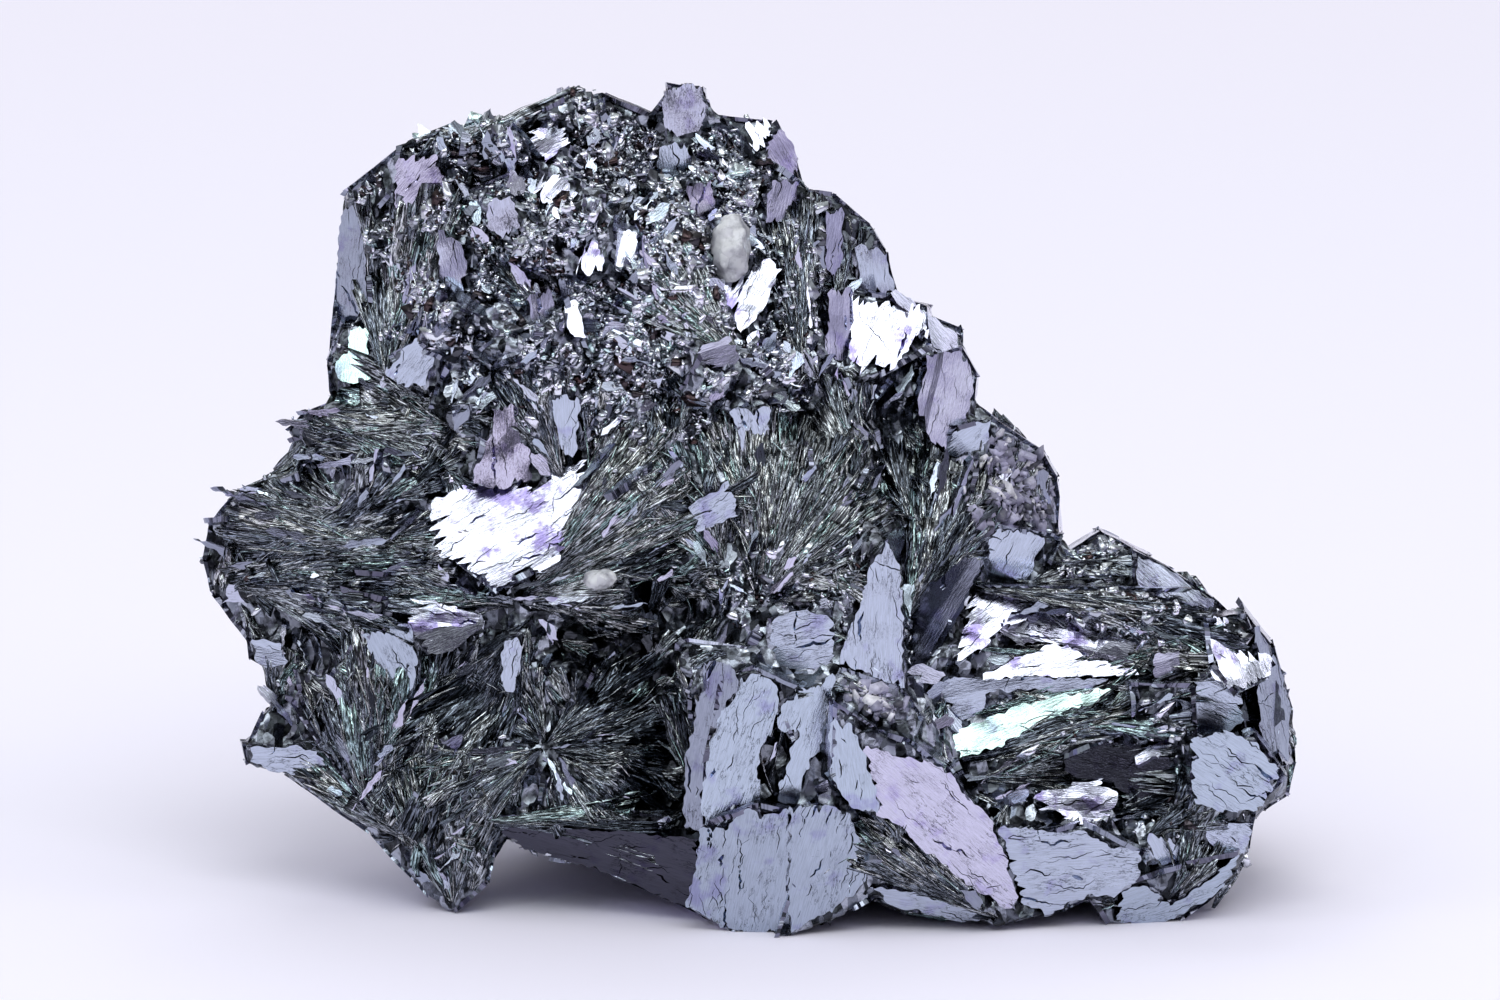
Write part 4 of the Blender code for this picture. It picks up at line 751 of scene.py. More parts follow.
def facets(mesh):
    """Groups of neighbouring faces of the solid that lie in one plane."""
    left = set(mesh.faces)
    found = []
    for seed in sorted(mesh.faces, key=lambda f: -f.calc_area()):
        if seed not in left:
            continue
        left.discard(seed)
        group, front = [seed], [seed]
        while front:
            near = [other for edge in front.pop().edges for other in edge.link_faces]
            for other in near:
                if other in left and other.normal.angle(seed.normal, 4) < FLAT_WITHIN:
                    left.discard(other)
                    group.append(other)
                    front.append(other)
        if sum(f.calc_area() for f in group) > LEAST_SHEET:
            found.append(group)
    return found


class Plane:
    """A flat facet's plane with two axes in it."""

    def __init__(self, middle, normal):
        self.middle, self.normal = np.array(middle, float), unit(np.array(normal, float))
        aside = (0.0, 0.0, 1.0) if abs(self.normal[2]) < 0.9 else (0.0, 1.0, 0.0)
        self.side = unit(np.cross(aside, self.normal))
        self.along = np.cross(self.normal, self.side)

    def flat(self, point):
        offset = np.array(point) - self.middle
        return Vector((float(offset @ self.side), float(offset @ self.along)))

    def solid(self, flat, lift):
        return self.middle + flat @ np.array((self.side, self.along)) + np.outer(lift, self.normal)


def facet_rings(group, plane):
    """The rings of edges around a group of coplanar faces, flat in their plane."""
    member = set(group)
    ahead = {}
    for face in group:
        for loop in face.loops:
            if loop.link_loop_radial_next.face not in member:
                ahead.setdefault(loop.vert, []).append(loop.link_loop_next.vert)
    rings = []
    while ahead:
        here = next(iter(ahead))
        ring = []
        while here in ahead:
            ring.append(plane.flat(here.co))
            following = ahead[here].pop()
            if not ahead[here]:
                del ahead[here]
            here = following
        if len(ring) > 2:
            rings.append(ring)
    return rings


def facet_sheet(group):
    """The plane, rings and area of a group of coplanar faces."""
    area = sum(f.calc_area() for f in group)
    normal = sum((f.normal * f.calc_area() for f in group), Vector())
    middle = sum((f.calc_center_median() * f.calc_area() for f in group), Vector()) / area
    plane = Plane(middle, normal)
    return plane, facet_rings(group, plane), area


def plate_sheet(plate, tree):
    """The plane, ring and area of a named plate, laid on what the solid has inside its outline."""
    normal = face_normal(plate.yaw, plate.pitch)
    outline = np.array(plate.outline)
    middle = outline.mean(0)
    levels = []
    for grow in PLATE_SAMPLES:
        for spot in middle + (outline - middle) * grow:
            hit, _ = front_hit(tree, *spot, PLATE_AHEAD)
            if hit is not None:
                levels.append(np.array(hit) @ normal)
    level = float(np.percentile(levels, PLATE_PERCENTILE))
    points = []
    for spot in outline:
        base = face_point(*spot, 0)
        points.append(base + OUT * (level - base @ normal) / (OUT @ normal))
    plane = Plane(np.mean(points, 0), normal)
    ring = [plane.flat(p) for p in points]
    area = ring_area(ring)
    return plane, [ring if area > 0 else ring[::-1]], abs(area)


class Grain(NamedTuple):
    """The way that a sheet's thin crystals run, how far they lean apart and how high the sheet waves."""

    turn: float
    tilt: float
    swell: float
    wander: float  # where its noise starts

    def way(self):
        return Vector((math.cos(self.turn), math.sin(self.turn)))

    def across(self):
        return Vector((-math.sin(self.turn), math.cos(self.turn)))


def long_way(points):
    """The angle of the direction that flat points are spread widest in."""
    _, _, axes = np.linalg.svd(points - points.mean(0), full_matrices=False)
    return math.atan2(axes[0][1], axes[0][0])


def torn_edge(a, b, grain, wear):
    """Points from a towards b, worn by noise, and frayed where the edge cuts across the grain."""
    steps = max(1, round((b - a).length / wear.edge_step))
    along = (b - a).normalized()
    inward = Vector((-along.y, along.x))
    way = grain.way() * (1 if inward.dot(grain.way()) > 0 else -1)
    wide, long = BROAD_TEETH
    points = []
    for i in range(steps):
        p = a.lerp(b, i / steps)
        spot = (p.x, p.y, grain.wander)
        worn = wear.inset + wear.tear * bumpy(spot, EDGE_BUMPS)
        tooth = (p.dot(grain.across()), 40 * way.x, grain.wander)  # the two ends of the grain differ
        comb = wear.fray * max(0, rough(tooth, wear.comb) + long * rough(tooth, wide * wear.comb))
        points.append(p + inward * max(worn, wear.inset - EDGE_BULGE) + way * comb)
    return points


def torn_ring(ring, grain, wear):
    return [point for a, b in zip(ring, ring[1:] + ring[:1]) for point in torn_edge(a, b, grain, wear)]


def crossing(a, b, points):
    """Which points have the edge from a to b on their right."""
    if a[1] == b[1]:
        return np.zeros(len(points), bool)
    between = (a[1] > points[:, 1]) != (b[1] > points[:, 1])
    return between & (points[:, 0] < a[0] + (points[:, 1] - a[1]) * (b[0] - a[0]) / (b[1] - a[1]))


def inside_rings(rings, points):
    """Which points an odd number of ring edges lie to the right of."""
    inside = np.zeros(len(points), bool)
    for ring in rings:
        corners = [(p[0], p[1]) for p in ring]
        for a, b in zip(corners, corners[1:] + corners[:1]):
            inside ^= crossing(a, b, points)
    return inside


def crack_lines(low, high, area, grain, wear, chance):
    """Jagged cracks, mostly along the grain: (points, half widths)."""
    lines = []
    share_gaping, gape = GAPING
    share_crossing, *aside = CROSSING
    for _ in range(int(area * wear.cracks + chance.random())):
        p = Vector((chance.uniform(low[0], high[0]), chance.uniform(low[1], high[1])))
        turn = grain.turn + chance.gauss(0, CRACK_TURN)
        turn += chance.uniform(*aside) if chance.random() < share_crossing else 0
        count = chance.randint(*CRACK_POINTS)
        wide = chance.uniform(*CRACK_HALF_WIDTH) * (gape if chance.random() < share_gaping else 1)
        points = []
        for _ in range(count):
            points.append(p.copy())
            bent = turn + chance.gauss(0, CRACK_BEND)
            p += Vector((math.cos(bent), math.sin(bent))) * wear.crack_step
        taper = [wide * math.sin(math.pi * (i + 0.5) / count) for i in range(count)]
        lines.append((points, taper))
    return lines


class Flat:
    """Points and constraint edges for a flat triangulation."""

    def __init__(self):
        self.points, self.edges = [], []

    def chain(self, points, closed=False):
        """Adds a row of points with edges between them, and says where it starts."""
        start = len(self.points)
        self.points += points
        self.edges += [(start + i, start + i + 1) for i in range(len(points) - 1)]
        if closed:
            self.edges.append((start + len(points) - 1, start))
        return start

    def crack(self, points, widths):
        """Adds a crack's two lips and its floor, and says which points lie deep."""
        offsets = []
        for i, width in enumerate(widths):
            ahead = (points[min(i + 1, len(points) - 1)] - points[max(i - 1, 0)]).normalized()
            offsets.append(Vector((-ahead.y, ahead.x)) * width)
        self.chain([p + o for p, o in zip(points, offsets)])
        self.chain([p - o for p, o in zip(points, offsets)])
        start = self.chain(points)
        return range(start + 1, start + len(points) - 1)

    def fill(self, low, high, step, chance):
        """Adds loose points in a shaken grid."""
        for x in np.arange(low[0], high[0], step):
            for y in np.arange(low[1], high[1], step):
                spot = [place + chance.uniform(-GRID_SHAKE, GRID_SHAKE) for place in (x, y)]
                self.points.append(Vector(spot))

    def triangulate(self):
        corners, _, faces, origins, _, _ = delaunay_2d_cdt(self.points, self.edges, [], 0, 1e-4)
        return np.array([(c.x, c.y) for c in corners]), np.array(faces), origins


class Lamellae:
    """The profile of a sheet across its grain: thin crystals side by side, each with its own lean."""

    def __init__(self, low, high, grain, chance):
        self.grain = grain
        spans = [Vector((x, y)) for x in (low[0], high[0]) for y in (low[1], high[1])]
        sides, ends = [p.dot(grain.across()) for p in spans], [p.dot(grain.way()) for p in spans]
        self.start, self.stop = min(ends), max(ends)
        self.knots, self.heights = [min(sides)], [0.0]
        while self.knots[-1] < max(sides):
            wide = chance.uniform(*LAMELLA)
            self.knots.append(self.knots[-1] + wide)
            self.heights.append(LAMELLA_KEEPS * self.heights[-1] + wide * chance.gauss(0, grain.tilt))

    def bent(self, along, across):
        """How far the border between two crystals strays across the grain."""
        high, wide = STRAYING
        return high * rough((along, across, self.grain.wander), wide)

    def borders(self):
        """A line of points along each border."""
        way, across = self.grain.way(), self.grain.across()
        for knot in self.knots[1:-1]:
            places = np.arange(self.start, self.stop, LAMELLA_STEP)
            yield [way * t + across * (knot - self.bent(t, knot)) for t in places]

    def lift(self, corners):
        along, across = corners @ np.array(self.grain.way()), corners @ np.array(self.grain.across())
        strayed = across + np.array([self.bent(t, c) for t, c in zip(along, across)])
        waves = np.array([rough((t, c, self.grain.wander), SWELL_SIZE) for t, c in zip(along, across)])
        return np.interp(strayed, self.knots, self.heights) + waves * self.grain.swell


def sheet_arrays(plane, rings, area, tone, grain, wear, chance):
    """One torn, cracked sheet on a plane, as closed arrays, or None where too little of it is left."""
    torn = [edge for edge in (torn_ring(ring, grain, wear) for ring in rings) if len(edge) >= LEAST_CORNERS]
    if not torn:
        return None
    flat = Flat()
    for edge in torn:
        flat.chain(edge, closed=True)
    every = np.array([(p.x, p.y) for edge in torn for p in edge])
    low, high = every.min(0), every.max(0)
    lamellae = Lamellae(low, high, grain, chance)
    for border in lamellae.borders():
        flat.chain(border)
    deep = set()
    for points, widths in crack_lines(low, high, area, grain, wear, chance):
        deep |= set(flat.crack(points, widths))
    flat.fill(low, high, wear.inside_step, chance)
    corners, faces, origins = flat.triangulate()
    faces = faces[inside_rings(torn, corners[faces].mean(1))]
    if len(faces) < LEAST_FACES:
        return None
    lift = SHEET_LIFT + lamellae.lift(corners)
    lift[[any(o in deep for o in origin) for origin in origins]] -= CRACK_DEPTH
    points, triangles, uv = closed_sheet(corners, faces, lift, plane, wear.depth)
    uv = uv @ np.array((grain.way(), grain.across())).T + chance.uniform(0, UV_SPAN)
    # the walls are darkened to wear.rim of the top's tone: painted shade in the gaps along the sheet's
    # edge, with a broken edge's own dark
    tones = np.full(len(triangles), wear.rim * tone)
    tones[:len(faces)] = tone
    return points, triangles, uv, tones


def border_edges(faces):
    ends = np.concatenate([faces[:, [0, 1]], faces[:, [1, 2]], faces[:, [2, 0]]])
    known = {tuple(e) for e in ends}
    return np.array([e for e in ends if (e[1], e[0]) not in known])


def facing_out(corners, faces):
    """The faces, all turned the same way round, on the corners that they use."""
    shape = corners[faces]
    turn = np.cross(shape[:, 1] - shape[:, 0], shape[:, 2] - shape[:, 0])
    faces = np.where((turn < 0)[:, None], faces[:, ::-1], faces)
    used, back = np.unique(faces, return_inverse=True)
    return used, back.reshape(-1, 3)


def under_side(spots, edge, place):
    """The triangles that fill a sheet's rim from below. place numbers the spots at each edge's ends."""
    found, _, floor, origins, _, _ = delaunay_2d_cdt(
        [Vector(spot) for spot in spots], [tuple(ends) for ends in place], [], 0, 1e-6,
    )
    floor = np.array(floor)
    middle = np.array([(c.x, c.y) for c in found])[floor].mean(1)
    inside = np.zeros(len(middle), bool)
    for a, b in zip(*edge):
        inside ^= crossing(a, b, middle)
    first = np.array([o[0] if o else 0 for o in origins])
    return first[floor[inside]][:, ::-1]


def closed_sheet(corners, faces, lift, plane, depth):
    """A sheet's top with walls down to a flat under side."""
    used, faces = facing_out(corners, faces)
    corners, top = corners[used], plane.solid(corners, lift)[used]
    edge = border_edges(faces)
    rim, place = np.unique(edge, return_inverse=True)
    place = place.reshape(-1, 2)
    lower = place + len(top)
    centre = corners[rim].mean(0)
    under = plane.solid(centre + (corners[rim] - centre) * UNDERCUT, np.full(len(rim), -depth))
    walls = np.concatenate([
        np.stack([edge[:, 1], edge[:, 0], lower[:, 0]], 1),
        np.stack([edge[:, 1], lower[:, 0], lower[:, 1]], 1),
    ])
    floor = under_side(corners[rim], (corners[edge[:, 0]], corners[edge[:, 1]]), place) + len(top)
    flat = np.concatenate([corners, corners[rim]])
    return np.concatenate([top, under]), np.concatenate([faces, walls, floor]), flat


def named_sheets(tree, chance):
    """The sheets of the named plates, and for each the plane and the outline that it hides."""
    sheets, hidden = [], []
    for plate in PLATES.values():
        plane, rings, area = plate_sheet(plate, tree)
        turn = long_way(np.array([tuple(p) for p in rings[0]])) + chance.gauss(0, PLATE_TURN)
        grain = Grain(turn, plate.tilt, plate.swell, chance.uniform(0, NOISE_SPAN))
        wear = BRIGHT_WEAR if plate.tone == BRIGHT else NAMED_WEAR
        sheets.append(sheet_arrays(plane, rings, area, plate.tone, grain, wear, chance))
        hidden.append((plane, plate.outline))
    return joined([sheet for sheet in sheets if sheet is not None]), hidden


def compact(rings, area):
    """Whether a facet is broad enough for its length to be a plate and not the side of a flute."""
    reach = max((a - b).length for ring in rings for a in ring for b in ring)
    return area > LEAST_BREADTH * reach * reach


def back_sheets(mesh, chance):
    """A sheet on each compact facet away from the face."""
    sheets = []
    for group in facets(mesh):
        plane, rings, area = facet_sheet(group)
        if plane.normal @ OUT > BACK_FACING or plane.normal[2] < BASE_FACING or not compact(rings, area):
            continue
        turn = long_way(np.array([tuple(p) for ring in rings for p in ring]))
        grain = Grain(turn, *BACK_WAVES, chance.uniform(0, NOISE_SPAN))
        tone = chance.uniform(*BACK_TONES)
        sheets.append(sheet_arrays(plane, rings, area, tone, grain, BACK_WEAR, chance))
    return joined([sheet for sheet in sheets if sheet is not None])


def leaning(chance, leans):
    """A normal that leans one of the usual ways of the display face's bright plates."""
    pick = chance.random()
    for share, yaw, yaw_spread, pitch, pitch_spread in leans:
        pick -= share
        if pick < 0:
            break
    return face_normal(chance.normal(yaw, yaw_spread), chance.normal(pitch, pitch_spread))


def in_sector(fan, flat):
    """Whether flat places on the face lie in a fan's sector."""
    across, up, turn, half, reach, _ = fan
    away = flat - np.array((across, up))
    aside = (np.arctan2(away[..., 1], away[..., 0]) - math.radians(turn) + math.pi) % math.tau - math.pi
    return (np.linalg.norm(away, axis=-1) < reach) & (abs(aside) < math.radians(half))


def fan_at(place):
    """The named fan whose sector a place lies in, or None."""
    flat = face_coords(place)[:2]
    return next((fan for fan in FANS if in_sector(fan, flat)), None)


def flow_at(place):
    """The way that fibres run at a place: away from the apex of its fan, or of the nearest one."""
    flat = face_coords(place)[:2]
    fan = fan_at(place) or min(FANS, key=lambda other: np.linalg.norm(flat - other[:2]))
    away = flat - fan[:2]
    return away @ FACE_AXES[:2] / np.linalg.norm(away)


def chip(middle, normal, kind, chance, dice):
    """One small broken plate near a place on the crust, or None."""
    lean = leaning(dice, kind.leans)
    if lean @ normal < CHIP_FOLLOWS:
        lean = unit(normal + dice.normal(0, CHIP_SPLAY, 3))
    length = chance.uniform(*kind.length)
    wide = length * chance.uniform(*kind.slim)
    plane = Plane(middle + lean * chance.uniform(*CHIP_LIFT), lean)
    flow = plane.flat(plane.middle + flow_at(middle))
    turn = math.atan2(flow.y, flow.x) + chance.gauss(0, CHIP_TURN)
    grain = Grain(turn, *CHIP_WAVES, chance.uniform(0, NOISE_SPAN))
    ring = []
    for corner in sorted(chance.uniform(0, math.tau) for _ in range(CHIP_CORNERS)):
        along = math.cos(corner) * length / 2 * chance.uniform(*CHIP_RAGGED)
        ring.append(grain.way() * along + grain.across() * (math.sin(corner) * wide / 2))
    area = ring_area(ring)
    if area < LEAST_CHIP:
        return None
    return sheet_arrays(plane, [ring], area, chance.uniform(*CHIP_TONES), grain, CHIP_WEAR, chance)


def chip_sheets(ground, chance, dice):
    """Small broken plates of each kind on the display face."""
    sheets = []
    for kind in CHIPS:
        middles, normals = ground.spots(
            kind.count, dice, lambda m, n: (n @ OUT > kind.facing) & (m[:, 2] > kind.lowest)
        )
        for middle, normal in zip(middles, normals):
            share = kind.in_fans if fan_at(middle) else kind.elsewhere
            if chance.random() > share or ground.on_sheet(middle, CLEAR_OF_CHIPS):
                continue
            if not in_hollow(middle[None], normal[None])[0]:
                sheets.append(chip(middle, normal, kind, chance, dice))
    return joined([sheet for sheet in sheets if sheet is not None])


# ---------------------------------------------------------------- fibres


class Ground:
    """What fibres and grains are laid on."""

    def __init__(self, points, triangles, sheets):
        self.tree = tree_of(points, triangles)
        self.sheets = sheets
        corners = points[triangles]
        cross = np.cross(corners[:, 1] - corners[:, 0], corners[:, 2] - corners[:, 0])
        self.area = np.linalg.norm(cross, axis=1) / 2
        self.normals = unit(cross)
        self.middles = corners.mean(1)

    def spots(self, count, chance, keep):
        """Random places spread evenly by area over the triangles that keep accepts: (points, normals)."""
        chosen = np.flatnonzero(keep(self.middles, self.normals))
        odds = self.area[chosen] / self.area[chosen].sum()
        picked = chance.choice(chosen, count, p=odds)
        return self.middles[picked], self.normals[picked]

    def on_sheet(self, point, within=CLEAR_OF_REST):
        return self.sheets.find_nearest(Vector(point), within)[0] is not None

    def level(self, point, normal, reach=7.0):
        """How far above point the ground lies along normal, or None."""
        n = Vector(normal)
        hit, _, _, _ = self.tree.ray_cast(Vector(point) + n * reach, -n, 2 * reach)
        return None if hit is None else float((np.array(hit) - point) @ normal)

    def follow(self, spots, normal, climb):
        """The levels under a row of spots, with steps steeper than climb levelled off.

        None where the ground drops away or rises far from the row, as it does past an edge."""
        levels = []
        for i, spot in enumerate(spots):
            found = self.level(spot, normal)
            if found is None:
                return None
            level = found
            if levels:
                step = climb * float(np.linalg.norm(spot - spots[i - 1]))
                level = min(max(found, levels[-1] - step), levels[-1] + step)
            if abs(found - level) > STRAY:
                return None
            levels.append(level)
        return levels


class Fan(NamedTuple):
    """A place that fibres spread from, all in mm and radians."""

    apex: np.ndarray
    axis: np.ndarray
    normal: np.ndarray
    half: float
    reach: float
    shade: float

    def place(self, turn, radius):
        side = np.cross(self.normal, self.axis)
        way = np.multiply.outer(np.cos(turn), self.axis) + np.multiply.outer(np.sin(turn), side)
        return self.apex + way * np.asarray(radius)[..., None]


def strand(fan, habit, chance):
    """Where in its fan a fibre starts, how long it is and how far from the axis it runs."""
    start = fan.reach * chance.random() ** habit.crowding * habit.last_start
    room = fan.reach * habit.last_end - start
    length = max(habit.least, min(fan.reach * chance.uniform(*habit.length), room))
    return start, length, chance.uniform(-fan.half, fan.half)


class Course(NamedTuple):
    """The sector of a fan that a ribbon takes, and the ground's levels along its left, middle and right."""

    start: float
    length: float
    turn: float
    wide: float
    spread: float
    bend: float
    levels: np.ndarray


def ribbon_course(ground, fan, size, chance):
    """The course of one ribbon, or None where the ground is too rough for it or a sheet lies there."""
    start, length, turn = strand(fan, RIBBON, chance)
    wide = size * chance.uniform(*RIBBON_WIDTH)
    spread = min(wide / (start + 0.5 * length), RIBBON_SPREAD)
    bend = chance.normal(0, RIBBON.bend)
    levels = []
    for lean in (-0.5, 0, 0.5):
        spots = fan.place(turn + lean * spread + bend * RIBBON_STEPS, start + length * RIBBON_STEPS)
        levels.append(ground.follow(spots, fan.normal, RIBBON.climb))
        if levels[-1] is None:
            return None
    centre = fan.place(turn, start + 0.5 * length) + fan.normal * levels[1][2]
    if ground.on_sheet(centre, CLEAR_OF_RIBBONS):
        return None
    return Course(start, length, turn, wide, spread, bend, np.array(levels))


def ribbon_grid(ground, fan, size, chance):
    """One fluted ribbon of a fan: a grid of points, its uv, the way it faces and its tone, or None."""
    course = ribbon_course(ground, fan, size, chance)
    if course is None:
        return None
    start, length, turn, wide, spread, bend, (left, middle, right) = course
    share = np.linspace(-0.5, 0.5, RIBBON_COLUMNS)
    shake = chance.uniform(-RIBBON_SHAKE, RIBBON_SHAKE, RIBBON_COLUMNS) / RIBBON_COLUMNS
    turns = turn + (share + shake)[None, :] * spread + bend * RIBBON_STEPS[:, None]
    ragged = 1 + chance.uniform(*RIBBON_RAGGED, RIBBON_COLUMNS)
    flat = fan.place(turns, start + length * RIBBON_STEPS[:, None] * ragged[None, :])
    weight = share[None, :] * 2
    outer = np.where(weight < 0, left[:, None], right[:, None])
    level = middle[:, None] + (outer - middle[:, None]) * np.abs(weight)
    pitch = spread * (start + 0.6 * length) / RIBBON_COLUMNS
    up_and_down = np.where(np.arange(RIBBON_COLUMNS) % 2, 1, -1)
    ridge = up_and_down * chance.uniform(*FLUTES, RIBBON_COLUMNS) * pitch
    roll = chance.normal(0, RIBBON_ROLL)
    lift = chance.uniform(*RIBBON_LIFT) + share * wide * math.tan(roll)
    bury = RIBBON_BURY + chance.normal(0, RIBBON_UNEVEN, len(RIBBON_BURY))
    level = level + lift[None, :] + bury[:, None] + ridge[None, :] * RIBBON_TAPER[:, None]
    grid = flat + level[..., None] * fan.normal
    u = np.broadcast_to(length * RIBBON_STEPS[:, None], level.shape)
    v = np.broadcast_to(share[None, :] * wide, level.shape)
    # some ribbons get a painted glint on top of their fan's tone
    bright = fan.shade + (RIBBON_PAINTED_GLINT if chance.random() < RIBBON_GLINT_SHARE else 0)
    return grid, np.stack([u, v], -1), fan.normal, np.clip(chance.normal(bright, RIBBON_TONES), 0, 1)


def ribbon_template():
    """The triangles of a closed ribbon: a full grid on top, and its two long edges below."""
    rows, columns = len(RIBBON_STEPS), RIBBON_COLUMNS
    top = np.arange(rows * columns).reshape(rows, columns)
    left = rows * columns + np.arange(rows)
    right = left + rows
    faces = []

    def quad(a, b, c, d):
        faces.extend(((a, b, c), (a, c, d)))

    for i in range(rows - 1):
        for j in range(columns - 1):
            quad(top[i, j], top[i + 1, j], top[i + 1, j + 1], top[i, j + 1])
        quad(top[i, 0], left[i], left[i + 1], top[i + 1, 0])
        quad(top[i, -1], top[i + 1, -1], right[i + 1], right[i])
        quad(left[i], right[i], right[i + 1], left[i + 1])
    for row, flip in ((0, False), (rows - 1, True)):
        end = [(left[row], top[row, j], top[row, j + 1]) for j in range(columns - 1)]
        end.append((left[row], top[row, -1], right[row]))
        faces.extend((a, c, b) if flip else (a, b, c) for a, b, c in end)
    return np.array(faces)


def ribbon_arrays(ribbons, chance):
    """All the ribbons as closed arrays."""
    template = ribbon_template()
    grids = np.array([r[0] for r in ribbons])
    uvs = np.array([r[1] for r in ribbons])
    drop = np.array([r[2] for r in ribbons])[:, None, :] * RIBBON_THICK
    tone = np.repeat([r[3] for r in ribbons], len(template))
    count = len(ribbons)
    points = np.concatenate([grids.reshape(count, -1, 3), grids[:, :, 0] - drop, grids[:, :, -1] - drop], 1)
    uv = np.concatenate([uvs.reshape(count, -1, 2), uvs[:, :, 0], uvs[:, :, -1]], 1)
    uv = uv + chance.uniform(0, UV_SPAN, (count, 1, 2))
    triangles = repeated(template, count, points.shape[1])
    return points.reshape(-1, 3), triangles, uv.reshape(-1, 2), tone


def needle_path(ground, fan, chance):
    """One loose fibre of a fan: its stations, lift, roll, the way it faces and its tone, or None."""
    start, length, turn = strand(fan, NEEDLE, chance)
    spots = fan.place(turn + chance.normal(0, NEEDLE.bend) * NEEDLE_STEPS, start + length * NEEDLE_STEPS)
    levels = ground.follow(spots, fan.normal, NEEDLE.climb)
    if levels is None:
        return None
    stations = spots + np.outer(levels, fan.normal)
    if ground.on_sheet(stations[2]):
        return None
    # needles are painted brighter than their fan, as glints
    tone = np.clip(chance.normal(fan.shade + NEEDLE_PAINTED_GLINT, NEEDLE_TONES), 0, 1)
    return stations, chance.uniform(*NEEDLE_LIFT), chance.normal(0, NEEDLE_ROLL), fan.normal, tone


def needle_template():
    """The triangles of a closed needle: three rows of left, ridge and right points, then its two tips."""
    faces = []
    rows = [(0, 3, 6), (1, 4, 7), (2, 5, 8)]
    for (a0, b0, c0), (a1, b1, c1) in zip(rows, rows[1:]):
        for p, q, r, s in ((a0, a1, b1, b0), (b0, b1, c1, c0), (c0, c1, a1, a0)):
            faces += [(p, q, r), (p, r, s)]
    for tip, (a, b, c) in ((9, rows[0]), (10, rows[-1][::-1])):
        faces += [(tip, a, b), (tip, b, c), (tip, c, a)]
    return faces


def needle_arrays(paths, chance):
    """Closed needles with a ridge along each path."""
    stations, lift, roll, normal, tone = (np.array(column) for column in zip(*paths))
    count = len(paths)
    ahead = unit(stations[:, -1] - stations[:, 0])
    side = unit(np.cross(normal, ahead))
    up = np.cross(ahead, side)
    side, up = (
        side * np.cos(roll)[:, None] + up * np.sin(roll)[:, None],
        up * np.cos(roll)[:, None] - side * np.sin(roll)[:, None],
    )
    wide = chance.uniform(*NEEDLE_HALF_WIDTH, count)
    tall = wide * chance.uniform(*NEEDLE_HEIGHT, count)
    stations = stations + normal[:, None, :] * lift[:, None, None]
    ring = stations[:, 1:-1]
    half = side[:, None, :] * (wide[:, None] * NEEDLE_TAPER)[..., None]
    rise = up[:, None, :] * (tall[:, None] * NEEDLE_TAPER)[..., None]
    tips = stations[:, [0, -1]] - normal[:, None, :] * NEEDLE_TIPS[None, :, None]
    points = np.concatenate([ring - half, ring + rise, ring + half, tips], 1)
    template = needle_template()
    length = np.linalg.norm(stations[:, -1] - stations[:, 0], axis=1)
    u = length[:, None] * np.array((0.2, 0.5, 0.8) * 3 + (0.0, 1.0))
    v = wide[:, None] * np.array((-1,) * 3 + (0,) * 3 + (1,) * 3 + (0, 0))
    uv = np.stack([u, v], -1) + chance.uniform(0, UV_SPAN, (count, 1, 2))
    triangles = repeated(template, count, points.shape[1])
    return points.reshape(-1, 3), triangles, uv.reshape(-1, 2), np.repeat(tone, len(template))


def lean_of_ground(ground, row):
    """The normal of the plane that fits the ground of a fan best, or OUT where that can't be used."""
    across, up, turn, half, reach, _ = row
    hits = []
    for share in (0.1, 0.3, 0.5, 0.7, 0.9):
        for lean in (-0.6, 0, 0.6):
            way = math.radians(turn + lean * half)
            far = share * reach
            hit, _ = front_hit(ground.tree, across + far * math.cos(way), up + far * math.sin(way))
            if hit is not None:
                hits.append(hit)
    if len(hits) < LEAST_HITS:
        return OUT
    _, _, axes = np.linalg.svd(np.array(hits) - np.mean(hits, 0), full_matrices=False)
    normal = axes[2] if axes[2] @ OUT > 0 else -axes[2]
    return normal if normal @ OUT > LEAST_LEAN else OUT


def apex_of(ground, across, up):
    """The apex of a fan on the ground, moved a little inwards where it lies past the edge, or None."""
    for share in (1, 0.96):
        spot = face_point(across * share, up, 8)
        level = ground.level(spot, OUT, 40)
        if level is not None:
            return spot + OUT * level
    return None


def named_fans(ground):
    """The fans of the table, laid on the ground."""
    fans = []
    for row in FANS:
        across, up, turn, half, reach, shade = row
        apex = apex_of(ground, across, up)
        if apex is not None:
            way = math.radians(turn)
            normal = lean_of_ground(ground, row)
            axis = ACROSS * math.cos(way) + UP * math.sin(way)
            axis = unit(axis - normal * (axis @ normal))
            fans.append(Fan(apex, axis, normal, math.radians(half), reach, shade))
    return fans


def random_fans(ground, count, keep, chance, reach):
    """Fans at random places off the sheets. On the face they keep roughly to the fibres around them."""
    fans = []
    middles, normals = ground.spots(3 * count, chance, keep)
    for middle, normal in zip(middles, normals):
        if len(fans) < count and not ground.on_sheet(middle):
            loose = LOOSE_FRONT if normal @ OUT > 0.3 else LOOSE_BACK
            way = flow_at(middle) + loose * chance.normal(size=3)
            axis = unit(way - normal * (way @ normal))
            shade = chance.uniform(*FAN_SHADES)
            half = chance.uniform(*HALF_ANGLES)
            fans.append(Fan(middle, axis, normal, half, chance.uniform(*reach), shade))
    return fans


def spread(ground, fans, total, make, chance):
    """Tries about total pieces, shared out among the fans by the ground they cover. make may reject one."""
    weights = np.array([fan.half * fan.reach ** 2 for fan in fans])
    made = []
    for fan, share in zip(fans, weights / weights.sum() * total):
        made += [make(ground, fan, chance) for _ in range(int(share + chance.random()))]
    return [piece for piece in made if piece is not None]


